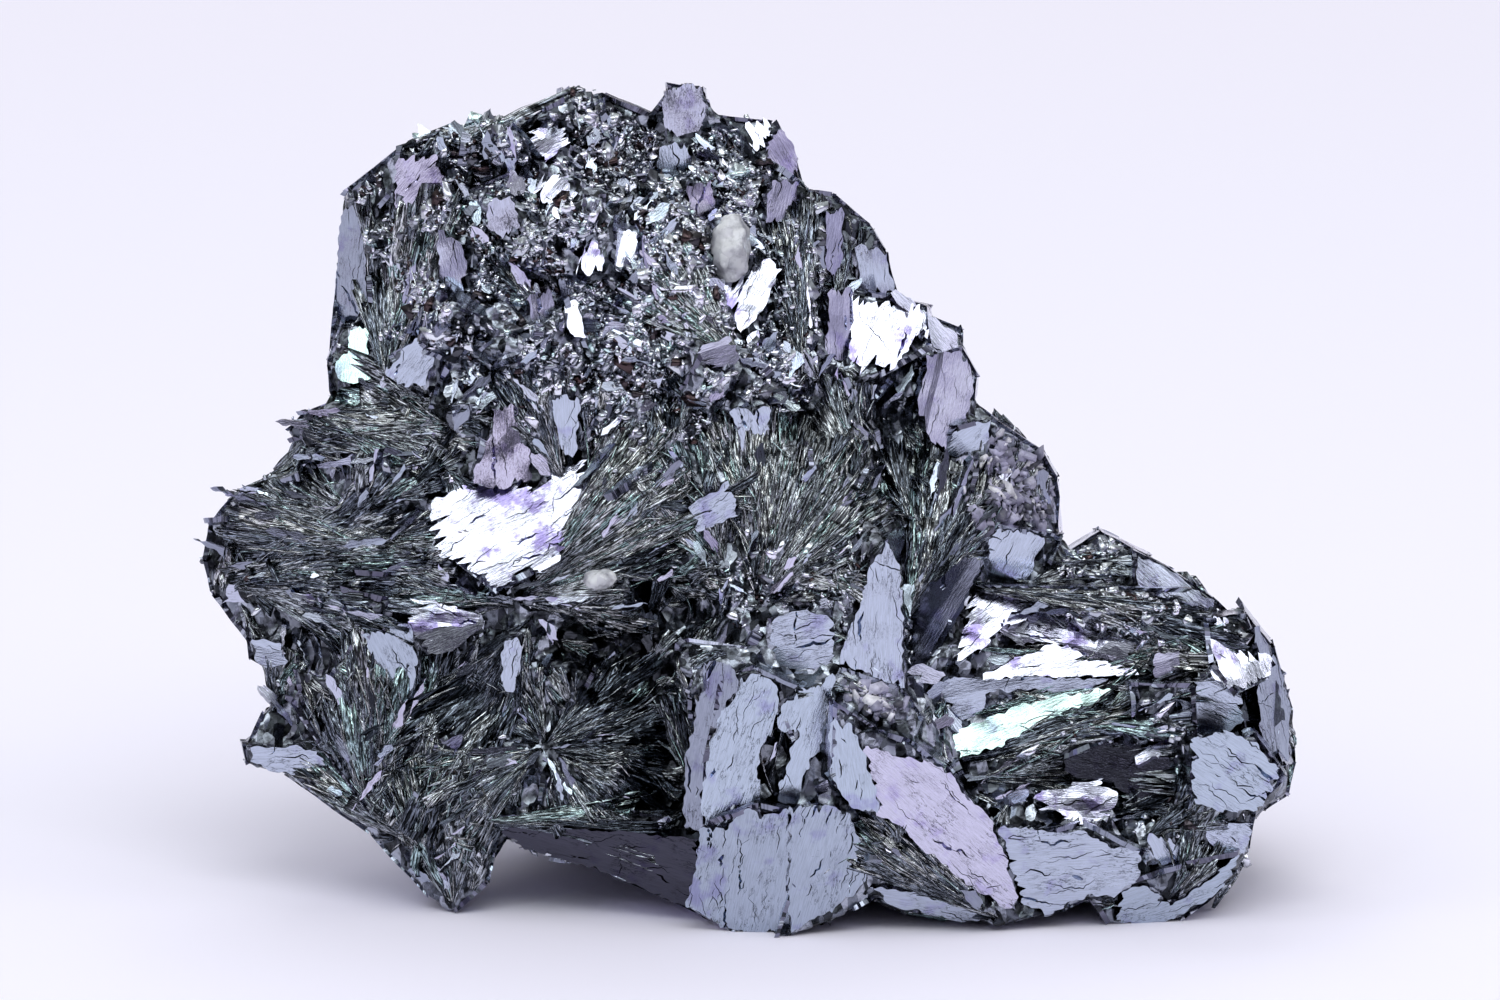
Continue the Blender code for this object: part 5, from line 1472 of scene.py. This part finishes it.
def ribbons(ground, fans, wanted, kind, chance):
    tried, size = kind
    return spread(ground, fans, wanted * tried, lambda g, fan, c: ribbon_grid(g, fan, size, c), chance)


def on_face(places, normals):
    return (normals @ OUT > 0.1) & ~in_ellipses(CRUSHED_DOME, places)


def behind(places, normals):
    return (normals @ OUT <= 0.2) & (places[:, 2] > LOWEST)


def at_rim(places, normals):
    return (abs(normals @ OUT) < 0.3) & (places[:, 2] > LOWEST)


def build_fibres(ground, chance):
    """The fans of the face and of the back as ribbons, and loose needles between them."""
    fibre = fibre_material()
    named = named_fans(ground)
    sprayed = random_fans(ground, FANS_SPRAYED, on_face, chance, SPRAYED_REACH)
    front = ribbons(ground, named, RIBBONS_FRONT, NAMED_RIBBONS, chance)
    front += ribbons(ground, sprayed, RIBBONS_FRONT, SPRAYED_RIBBONS, chance)
    triangle_object("fibres_front", ribbon_arrays(front[:RIBBONS_FRONT], chance), fibre)

    rear = random_fans(ground, FANS_BACK, behind, chance, BACK_REACH)
    back = ribbons(ground, rear, RIBBONS_BACK, BACK_RIBBONS, chance)
    triangle_object("fibres_back", ribbon_arrays(back[:RIBBONS_BACK], chance), fibre)

    loose = spread(ground, named + sprayed, NEEDLES, needle_path, chance)
    loose += spread(ground, rear, NEEDLES_BACK, needle_path, chance)
    triangle_object("needles", needle_arrays(loose, chance), fibre)


# ---------------------------------------------------------------- grains


def flake_template():
    """The triangles of a closed five-sided tablet: five points on top and five below."""
    faces = [(0, 1, 2), (0, 2, 3), (0, 3, 4), (5, 7, 6), (5, 8, 7), (5, 9, 8)]
    for i in range(5):
        j = (i + 1) % 5
        faces += [(i, i + 5, j + 5), (i, j + 5, j)]
    return faces


def flake_arrays(places, normals, sizes, chance):
    """Small closed five-sided tablets."""
    count = len(places)
    axis = unit(normals)
    side = unit(np.cross(axis, chance.normal(size=(count, 3))))
    along = np.cross(axis, side)
    turn = (np.arange(5) + chance.uniform(-0.3, 0.3, (count, 5))) * math.tau / 5
    reach = sizes[:, None] / 2 * chance.uniform(*GRAIN_RAGGED, (count, 5))
    narrow = chance.uniform(*GRAIN_NARROW, (count, 1))
    sideways, forward = np.cos(turn) * reach, np.sin(turn) * reach * narrow
    ring = side[:, None] * sideways[..., None] + along[:, None] * forward[..., None]
    thick = sizes * chance.uniform(*GRAIN_THICK, count)
    bottom = places[:, None] + ring * 0.9 - (axis * thick[:, None])[:, None]
    points = np.concatenate([places[:, None] + ring, bottom], 1)
    template = flake_template()
    tone = np.repeat(chance.random(count), len(template))
    return points.reshape(-1, 3), repeated(template, count, points.shape[1]), None, tone


def places_in(ground, table, facing, chance):
    """Random places off the sheets in a table's ellipses, and the normals there.

    A row of the table ends with how many are tried. facing is how squarely they must face the front."""
    places, normals = [], []
    for across, up, wide, tall, count in table:
        for _ in range(count):
            radius, turn = math.sqrt(chance.random()), chance.uniform(0, math.tau)
            aside, above = wide * radius * math.cos(turn), tall * radius * math.sin(turn)
            hit, normal = front_hit(ground.tree, across + aside, up + above)
            if hit is not None and normal.dot(Vector(OUT)) > facing and not ground.on_sheet(hit):
                places.append(hit)
                normals.append(normal)
    return np.array(places), np.array(normals)


def scattered(places, normals, size, chance):
    """Flakes at the places, with their sizes in a log-normal spread."""
    lean = unit(normals + chance.normal(0, GRAIN_SPLAY, normals.shape))
    for i in np.flatnonzero((normals @ OUT > 0.2) & (chance.random(len(normals)) < GLINTING)):
        lean[i] = leaning(chance, GLINTS)
    sizes = chance.lognormal(*size, len(places)).clip(*SIZE_LIMITS)
    places = places + normals * chance.uniform(*GRAIN_LIFT, (len(places), 1))
    return flake_arrays(places, lean, sizes, chance)


def build_grains(ground, chance):
    """Grains on the crushed parts, some more all over and along the rim, and lumps of stone."""
    crushed, crushed_normals = places_in(ground, CRUSHED, 0.1, chance)
    more, more_normals = ground.spots(GRAINS_ALL, chance, lambda places, _: places[:, 2] > 1.0)
    rim, rim_normals = ground.spots(GRAINS_RIM, chance, at_rim)
    places = np.concatenate([crushed, more, rim])
    normals = np.concatenate([crushed_normals, more_normals, rim_normals])
    calm = (normals @ OUT > 0.3) & ~in_ellipses(CRUSHED_DOME, places)
    calm[:len(crushed)] = False
    odds = np.where(calm, KEPT_CALM, 1.0) * np.where(in_hollow(places, normals), KEPT_HOLLOW, 1.0)
    odds[[ground.on_sheet(place, CLEAR_OF_GRAINS) for place in places]] = KEPT_ON_SHEET
    keep = chance.random(len(places)) < odds
    triangle_object("grains", scattered(places[keep], normals[keep], GRAIN_SIZES, chance), grain_material())
    lumps = places_in(ground, STONY, -1, chance)
    triangle_object("stone", scattered(*lumps, LUMP_SIZES, chance), stone_material())


def quartz_grain(solid):
    """A rough pebble of quartz in the place of its plain solid."""
    points, triangles, _ = remeshed(welded(solid), QUARTZ_CELL)
    steps = np.array([sum(high * rough(p, *bump) for *bump, high in QUARTZ_BUMPS) for p in points])
    points = points + unit(points - points.mean(0)) * (steps - QUARTZ_SINK)[:, None]
    made = triangle_object(solid.name + "_rough", (points, triangles, None, None), quartz_material())
    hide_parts(solid.name)


# ---------------------------------------------------------------- materials


def feed(tree, socket, value):
    """Sets a socket to a value, or links it where the value is another node's socket."""
    if isinstance(value, bpy.types.NodeSocket):
        tree.links.new(value, socket)
    else:
        socket.default_value = value


def feed_named(tree, made, sockets):
    """Feeds the sockets of a node by their names, where _ stands for a space."""
    for name, value in sockets.items():
        feed(tree, made.inputs[name.replace("_", " ")], value)


def node(tree, kind, sockets=None, **settings):
    """A shader node with these settings, and these values or links in its sockets."""
    made = tree.nodes.new(kind)
    for key, value in settings.items():
        setattr(made, key, value)
    feed_named(tree, made, sockets or {})
    return made


def shader_of(name, **sockets):
    """A node material, its tree and its Principled shader, whose sockets have these values."""
    made = bpy.data.materials.new(name)
    made.use_nodes = True
    shader = made.node_tree.nodes["Principled BSDF"]
    feed_named(made.node_tree, shader, sockets)
    return made, made.node_tree, shader


def object_place(tree):
    return node(tree, "ShaderNodeTexCoord").outputs["Object"]


def along_grain(tree):
    return node(tree, "ShaderNodeUVMap", uv_map="along").outputs["UV"]


def tone_of(tree):
    return node(tree, "ShaderNodeAttribute", attribute_name="tone").outputs["Fac"]


def ramp(tree, factor, stops):
    """The colour at factor between stops, each a place and a colour or a grey."""
    made = node(tree, "ShaderNodeValToRGB", {"Fac": factor})
    while len(made.color_ramp.elements) < len(stops):
        made.color_ramp.elements.new(0.5)
    for element, (place, colour) in zip(made.color_ramp.elements, stops):
        element.position = place
        element.color = (*colour, 1) if isinstance(colour, tuple) else (colour, colour, colour, 1)
    return made.outputs["Color"]


def noise_node(tree, vector, scale, detail=3.0, roughness=0.5):
    sockets = {"Vector": vector, "Scale": scale, "Detail": detail, "Roughness": roughness}
    return node(tree, "ShaderNodeTexNoise", sockets).outputs["Fac"]


def stretched(tree, vector, scale):
    return node(tree, "ShaderNodeMapping", {"Vector": vector, "Scale": scale}).outputs["Vector"]


def grain_noise(tree, scale, detail, roughness=0.6):
    """Noise in streaks along the grain of a sheet or a fibre."""
    return noise_node(tree, stretched(tree, along_grain(tree), (*scale, 1)), 1.0, detail, roughness)


def mixed(tree, blend, first, second, share=1.0):
    """Two colours blended. share is how much of the blend shows, as a number or a socket."""
    made = node(tree, "ShaderNodeMix", data_type="RGBA", blend_type=blend)
    for place, value in ((0, share), (6, first), (7, second)):
        feed(tree, made.inputs[place], value)
    return made.outputs[2]


def vector_math(tree, operation, first, second):
    made = node(tree, "ShaderNodeVectorMath", operation=operation)
    feed(tree, made.inputs[0], first)
    feed(tree, made.inputs[1], second)
    return made.outputs["Value" if operation == "DOT_PRODUCT" else "Vector"]


def bump(tree, height, strength, distance):
    """A shading normal from a height. distance is how high 1 is, in metres."""
    sockets = {"Height": height, "Strength": strength, "Distance": distance}
    return node(tree, "ShaderNodeBump", sockets).outputs["Normal"]


def cell_slopes(tree, place, scale):
    """The height and the random colour of cells that each slope their own way, scale of them to a metre."""
    spot = stretched(tree, place, scale)
    cells = node(tree, "ShaderNodeTexVoronoi", {"Vector": spot, "Scale": 1.0})
    lean = vector_math(tree, "SUBTRACT", cells.outputs["Color"], (0.5, 0.5, 0.5))
    away = vector_math(tree, "SUBTRACT", spot, cells.outputs["Position"])
    return vector_math(tree, "DOT_PRODUCT", away, lean), cells.outputs["Color"]


def mirror_colour(tree, place, tone):
    """Slate, blue grey, lavender or green by the tone, with purple clouds painted into the lamp's
    reflection where it is BRIGHT.
    """
    tint = ramp(tree, tone, (
        (0.0, (0.03, 0.03, 0.04)), (0.1, (0.20, 0.20, 0.27)), (0.45, (0.50, 0.57, 0.68)),
        (0.75, (0.66, 0.64, 0.80)), (1.0, (0.50, 0.66, 0.65)),
    ))
    # painted reflection: lavender and darker clouds that only the plates mirroring the lamp get
    cloud = noise_node(tree, place, 300, 4, 0.6)
    reflection_bloom = ramp(tree, cloud, ((0.57, 1), (0.68, (0.74, 0.68, 0.88))))
    deep = ramp(tree, cloud, ((0.50, 1), (0.62, (0.50, 0.44, 0.60))))
    at_bright = ramp(tree, tone, (
        (BRIGHT - 0.04, 0), (BRIGHT - 0.01, 1), (BRIGHT + 0.01, 1), (BRIGHT + 0.04, 0),
    ))
    return mixed(tree, "MULTIPLY", mixed(tree, "MULTIPLY", tint, reflection_bloom, 0.9), deep, at_bright)


def mirror_material():
    """Bright cleavage: tinted patches, fine striations, and wisps of dark along the grain."""
    made, tree, shader = shader_of("mirror_plate", Metallic=1.0)
    place = object_place(tree)
    tint = mirror_colour(tree, place, tone_of(tree))
    wisps = ramp(tree, grain_noise(tree, (0.42, 1.7), 5, 0.62), (
        (0.480, 1), (0.492, 0.06), (0.503, 0.06), (0.515, 1),
    ))
    no_wisps = ramp(tree, noise_node(tree, place, 260, 3), ((0.38, 0), (0.52, 1)))
    tint = mixed(tree, "MULTIPLY", tint, mixed(tree, "LIGHTEN", wisps, no_wisps), 0.85)
    striae = ramp(tree, grain_noise(tree, (0.6, 9), 3), ((0.36, 0.62), (0.6, 1)))
    feed_named(tree, shader, {
        "Base Color": mixed(tree, "MULTIPLY", tint, striae, 0.55),
        "Roughness": ramp(tree, noise_node(tree, place, 500, 4), ((0.3, 0.05), (0.75, 0.17))),
        "Normal": bump(tree, grain_noise(tree, (1.2, 5.5), 4), 0.5, 0.00006),
    })
    return made


def fibre_material():
    """Dark fibres with bright broken streaks along them, painted shade between them and painted glints on
    some.
    """
    made, tree, shader = shader_of("fibre", Metallic=1.0)
    streak = grain_noise(tree, (0.8, 8.5), 2)
    # near-white at the top, where the ribbons and needles with painted glints land
    tint = ramp(tree, tone_of(tree), (
        (0.0, (0.05, 0.06, 0.08)), (0.35, (0.36, 0.41, 0.50)), (0.75, (0.92, 0.96, 1.0)),
        (0.95, (0.98, 1.0, 1.0)), (1.0, (0.70, 0.92, 0.94)),
    ))
    # dark lines and gaps along the fibres: partly their own streaks, partly painted shade between them
    combed_shade = ramp(tree, streak, ((0.44, 0.06), (0.55, 1)))
    gap_shade = ramp(tree, grain_noise(tree, (0.7, 3), 3), ((0.38, 0.25), (0.52, 1)))
    feed_named(tree, shader, {
        "Base Color": mixed(tree, "MULTIPLY", mixed(tree, "MULTIPLY", tint, combed_shade), gap_shade),
        "Roughness": ramp(tree, streak, ((0.3, 0.26), (0.7, 0.1))),
        "Normal": bump(tree, streak, 1.0, 0.00028),
    })
    return made


def crust_material():
    """Crushed metal: small cells, each with its own lean and tint, darkened by the painted shade in its
    tone.
    """
    made, tree, shader = shader_of("crust", Metallic=1.0)
    place = object_place(tree)
    slope, shade = cell_slopes(tree, place, (1100, 1100, 520))
    tint = ramp(tree, shade, (
        (0.25, (0.05, 0.055, 0.065)), (0.5, (0.22, 0.24, 0.29)), (0.8, (0.45, 0.48, 0.56)),
    ))
    dirt = ramp(tree, noise_node(tree, place, 900, 4, 0.6), ((0.4, 0.15), (0.52, 1)))
    feed_named(tree, shader, {
        "Base Color": mixed(tree, "MULTIPLY", mixed(tree, "MULTIPLY", tint, dirt, 0.8), tone_of(tree)),
        "Roughness": ramp(tree, noise_node(tree, place, 900, 3), ((0.3, 0.14), (0.7, 0.34))),
        "Normal": bump(tree, slope, 0.8, 0.0014),
    })
    return made


def grain_material():
    """Crushed flakes, each with its own tint."""
    made, tree, shader = shader_of("grain", Metallic=1.0)
    place = object_place(tree)
    feed_named(tree, shader, {
        "Base Color": ramp(tree, tone_of(tree), (
            (0.0, (0.08, 0.05, 0.05)), (0.10, (0.05, 0.05, 0.06)), (0.25, (0.40, 0.42, 0.49)),
            (0.6, (0.78, 0.81, 0.86)), (0.9, (0.86, 0.84, 0.97)), (1.0, (0.68, 0.88, 0.86)),
        )),
        "Roughness": ramp(tree, noise_node(tree, place, 700, 2), ((0.35, 0.1), (0.7, 0.3))),
        "Normal": bump(tree, noise_node(tree, place, 3600, 3), 0.3, 0.00005),
    })
    return made


def stone_material():
    """Lilac grey rock in which the crystals grew."""
    made, tree, shader = shader_of("stone", Metallic=0.0, Roughness=0.3)
    place = object_place(tree)
    tint = ramp(tree, tone_of(tree), (
        (0.0, (0.05, 0.05, 0.07)), (0.2, (0.30, 0.29, 0.40)), (0.7, (0.56, 0.54, 0.74)),
        (1.0, (0.97, 0.95, 1.0)),
    ))
    dirt = ramp(tree, noise_node(tree, place, 900, 5, 0.6), ((0.38, 0.35), (0.6, 1)))
    feed_named(tree, shader, {
        "Base Color": mixed(tree, "MULTIPLY", tint, dirt, 0.6),
        "Normal": bump(tree, noise_node(tree, place, 2200, 4), 0.6, 0.0002),
    })
    return made


def quartz_material():
    """Cloudy, slightly translucent quartz."""
    made, tree, shader = shader_of(
        "quartz", Roughness=0.22, IOR=1.54, Transmission_Weight=0.3,
        Subsurface_Weight=0.35, Subsurface_Radius=(1, 1, 1), Subsurface_Scale=0.0012,
    )
    place = object_place(tree)
    slope, _ = cell_slopes(tree, place, (850, 850, 850))
    feed_named(tree, shader, {
        "Base Color": ramp(tree, noise_node(tree, place, 620, 6, 0.6), (
            (0.36, (0.50, 0.50, 0.54)), (0.54, (0.95, 0.96, 1.0)),
        )),
        "Normal": bump(tree, slope, 0.9, 0.0011),
    })
    return made


# ---------------------------------------------------------------- the room


BACKGROUND = (0.93, 0.88, 1.0, 1)
FLOOR_COLOUR = (0.90, 0.86, 0.98, 1)
FLOOR_RADIUS = 4.0
FLOOR_FADES = (0.35, 1.6)  # how far out the floor starts and ends fading into the background
AIM = Vector((0, 0, 0.04))  # what the lamps look at
CAMERA_AIM = (0.3, 43.2, 5)  # what the camera looks at, as a place on the face
CAMERA_AWAY = 0.8333


def remap(tree, value, low, high):
    """The value on a scale from 0 at low to 1 at high."""
    sockets = {"Value": value, "From Min": low, "From Max": high}
    return node(tree, "ShaderNodeMapRange", sockets).outputs["Result"]


def build_world():
    """Pale walls with darker parts, so that the metal has something to mirror."""
    world = bpy.data.worlds.new("studio")
    bpy.context.scene.world = world
    world.use_nodes = True
    tree = world.node_tree
    tree.nodes.clear()
    direction = node(tree, "ShaderNodeTexCoord").outputs["Generated"]
    way = node(tree, "ShaderNodeSeparateXYZ", {"Vector": direction})
    height = remap(tree, way.outputs["Z"], -1, 1)
    bands = ramp(tree, height, (
        (0.45, (0.55, 0.53, 0.62)), (0.5, (0.10, 0.10, 0.12)), (0.66, (0.06, 0.06, 0.075)),
        (0.74, (0.5, 0.53, 0.53)), (0.9, (0.9, 0.95, 0.93)), (1.0, (0.3, 0.3, 0.33)),
    ))
    aside = node(tree, "ShaderNodeMath", operation="ABSOLUTE")
    feed(tree, aside.inputs[0], way.outputs["X"])
    walls = ramp(tree, aside.outputs[0], ((0.45, 0), (0.75, (0.6, 0.56, 0.75))))
    low_walls = mixed(tree, "MULTIPLY", walls, ramp(tree, height, ((0.5, 1), (0.72, 0))))
    from_camera = node(tree, "ShaderNodeLightPath").outputs["Is Camera Ray"]
    seen = mixed(tree, "MIX", mixed(tree, "ADD", bands, low_walls), BACKGROUND, from_camera)
    shade = node(tree, "ShaderNodeBackground", {"Color": seen})
    node(tree, "ShaderNodeOutputWorld", {"Surface": shade.outputs[0]})


def softbox(name, azimuth, elevation, distance, size, radiance, colour=(1, 1, 1), mirrored=True):
    """A square lamp that looks at the specimen. radiance is how bright it looks."""
    lamp = bpy.data.lights.new(name, "AREA")
    lamp.shape = "RECTANGLE"
    lamp.size, lamp.size_y = size
    lamp.energy = radiance * math.pi * size[0] * size[1]
    lamp.color = colour
    made = bpy.data.objects.new(name, lamp)
    a, e = math.radians(azimuth), math.radians(elevation)
    way = Vector((math.sin(a) * math.cos(e), -math.cos(a) * math.cos(e), math.sin(e)))
    made.location = AIM + way * distance
    made.rotation_mode = "QUATERNION"
    made.rotation_quaternion = (-way).to_track_quat("-Z", "Y")
    made.visible_glossy = mirrored
    bpy.context.scene.collection.objects.link(made)


def build_lights():
    softbox("key", 5, 55, 1.3, (0.9, 0.6), 2.3, (0.95, 1.0, 1.0))
    softbox("left", -75, 38, 1.4, (0.5, 0.8), 1.3, (0.92, 0.9, 1.0))
    softbox("right", 80, 35, 1.4, (0.5, 0.8), 1.3, (0.95, 0.9, 1.0))
    softbox("strip_left", -38, 42, 1.3, (0.14, 0.6), 3.0, (0.86, 1.0, 0.97))
    softbox("strip_right", 42, 44, 1.3, (0.14, 0.6), 3.0, (0.97, 0.97, 1.0))
    softbox("back", 190, 50, 1.4, (0.9, 0.6), 1.8, (0.98, 1.0, 0.99))
    softbox("fill", 5, 75, 1.3, (0.9, 0.9), 0.8, mirrored=False)


def floor_material():
    """Pale paper that fades into the background far out."""
    made, tree, shader = shader_of("floor_paper", Roughness=0.9, Base_Color=FLOOR_COLOUR)
    length = node(tree, "ShaderNodeVectorMath", operation="LENGTH")
    feed(tree, length.inputs[0], object_place(tree))
    glow = node(tree, "ShaderNodeEmission", {"Color": BACKGROUND})
    fade = node(tree, "ShaderNodeMixShader")
    parts = (remap(tree, length.outputs["Value"], *FLOOR_FADES), shader.outputs[0], glow.outputs[0])
    for socket, part in zip(fade.inputs, parts):
        feed(tree, socket, part)
    feed(tree, tree.nodes["Material Output"].inputs[0], fade.outputs[0])
    return made


def build_floor():
    """A wide pale floor."""
    mesh = bmesh.new()
    bmesh.ops.create_circle(mesh, cap_ends=True, segments=96, radius=FLOOR_RADIUS)
    data = bpy.data.meshes.new("floor")
    mesh.to_mesh(data)
    mesh.free()
    data.materials.append(floor_material())
    floor = bpy.data.objects.new("floor", data)
    bpy.context.scene.collection.objects.link(floor)
    floor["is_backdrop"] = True


def build_camera():
    """A long lens that looks squarely at the display face."""
    lens = bpy.data.cameras.new("camera")
    lens.lens = 200
    lens.sensor_width = 36
    lens.clip_end = 20
    camera = bpy.data.objects.new("camera", lens)
    camera.location = face_point(*CAMERA_AIM) * MM + OUT * CAMERA_AWAY
    camera.rotation_euler = (math.pi / 2 - FACE_LEAN, 0, 0)
    bpy.context.scene.collection.objects.link(camera)
    bpy.context.scene.camera = camera


# ---------------------------------------------------------------- all of it


def build_specimen():
    """The mass, piece by piece. Both sources of chance are drawn from in this order."""
    mesh = welded(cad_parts["hematite"])
    chance, dice = random.Random(SEED), np.random.default_rng(SEED)
    mirror = mirror_material()
    named, hidden = named_sheets(BVHTree.FromBMesh(mesh), chance)
    back = back_sheets(mesh, chance)
    mirror_object("plates", named, mirror)
    mirror_object("plates_back", back, mirror)

    sheets = tree_of(*joined([named, back])[:2])
    skin = crust_arrays(mesh, hidden, sheets)
    crust = triangle_object("crust", skin, crust_material())
    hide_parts("hematite")

    ground = Ground(*skin[:2], sheets)
    mirror_object("chips", chip_sheets(ground, chance, dice), mirror)
    build_fibres(ground, dice)
    build_grains(ground, dice)


def main():
    build_specimen()
    for name in ("quartz_grain_upper", "quartz_grain_centre"):
        quartz_grain(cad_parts[name])
    build_world()
    build_lights()
    build_floor()
    build_camera()
    bpy.context.scene.view_settings.view_transform = "Standard"
    boxes = {"cad": CAD_BOX, "visual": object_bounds()}
    {name: [list(corner) for corner in box] for name, box in boxes.items()}


main()
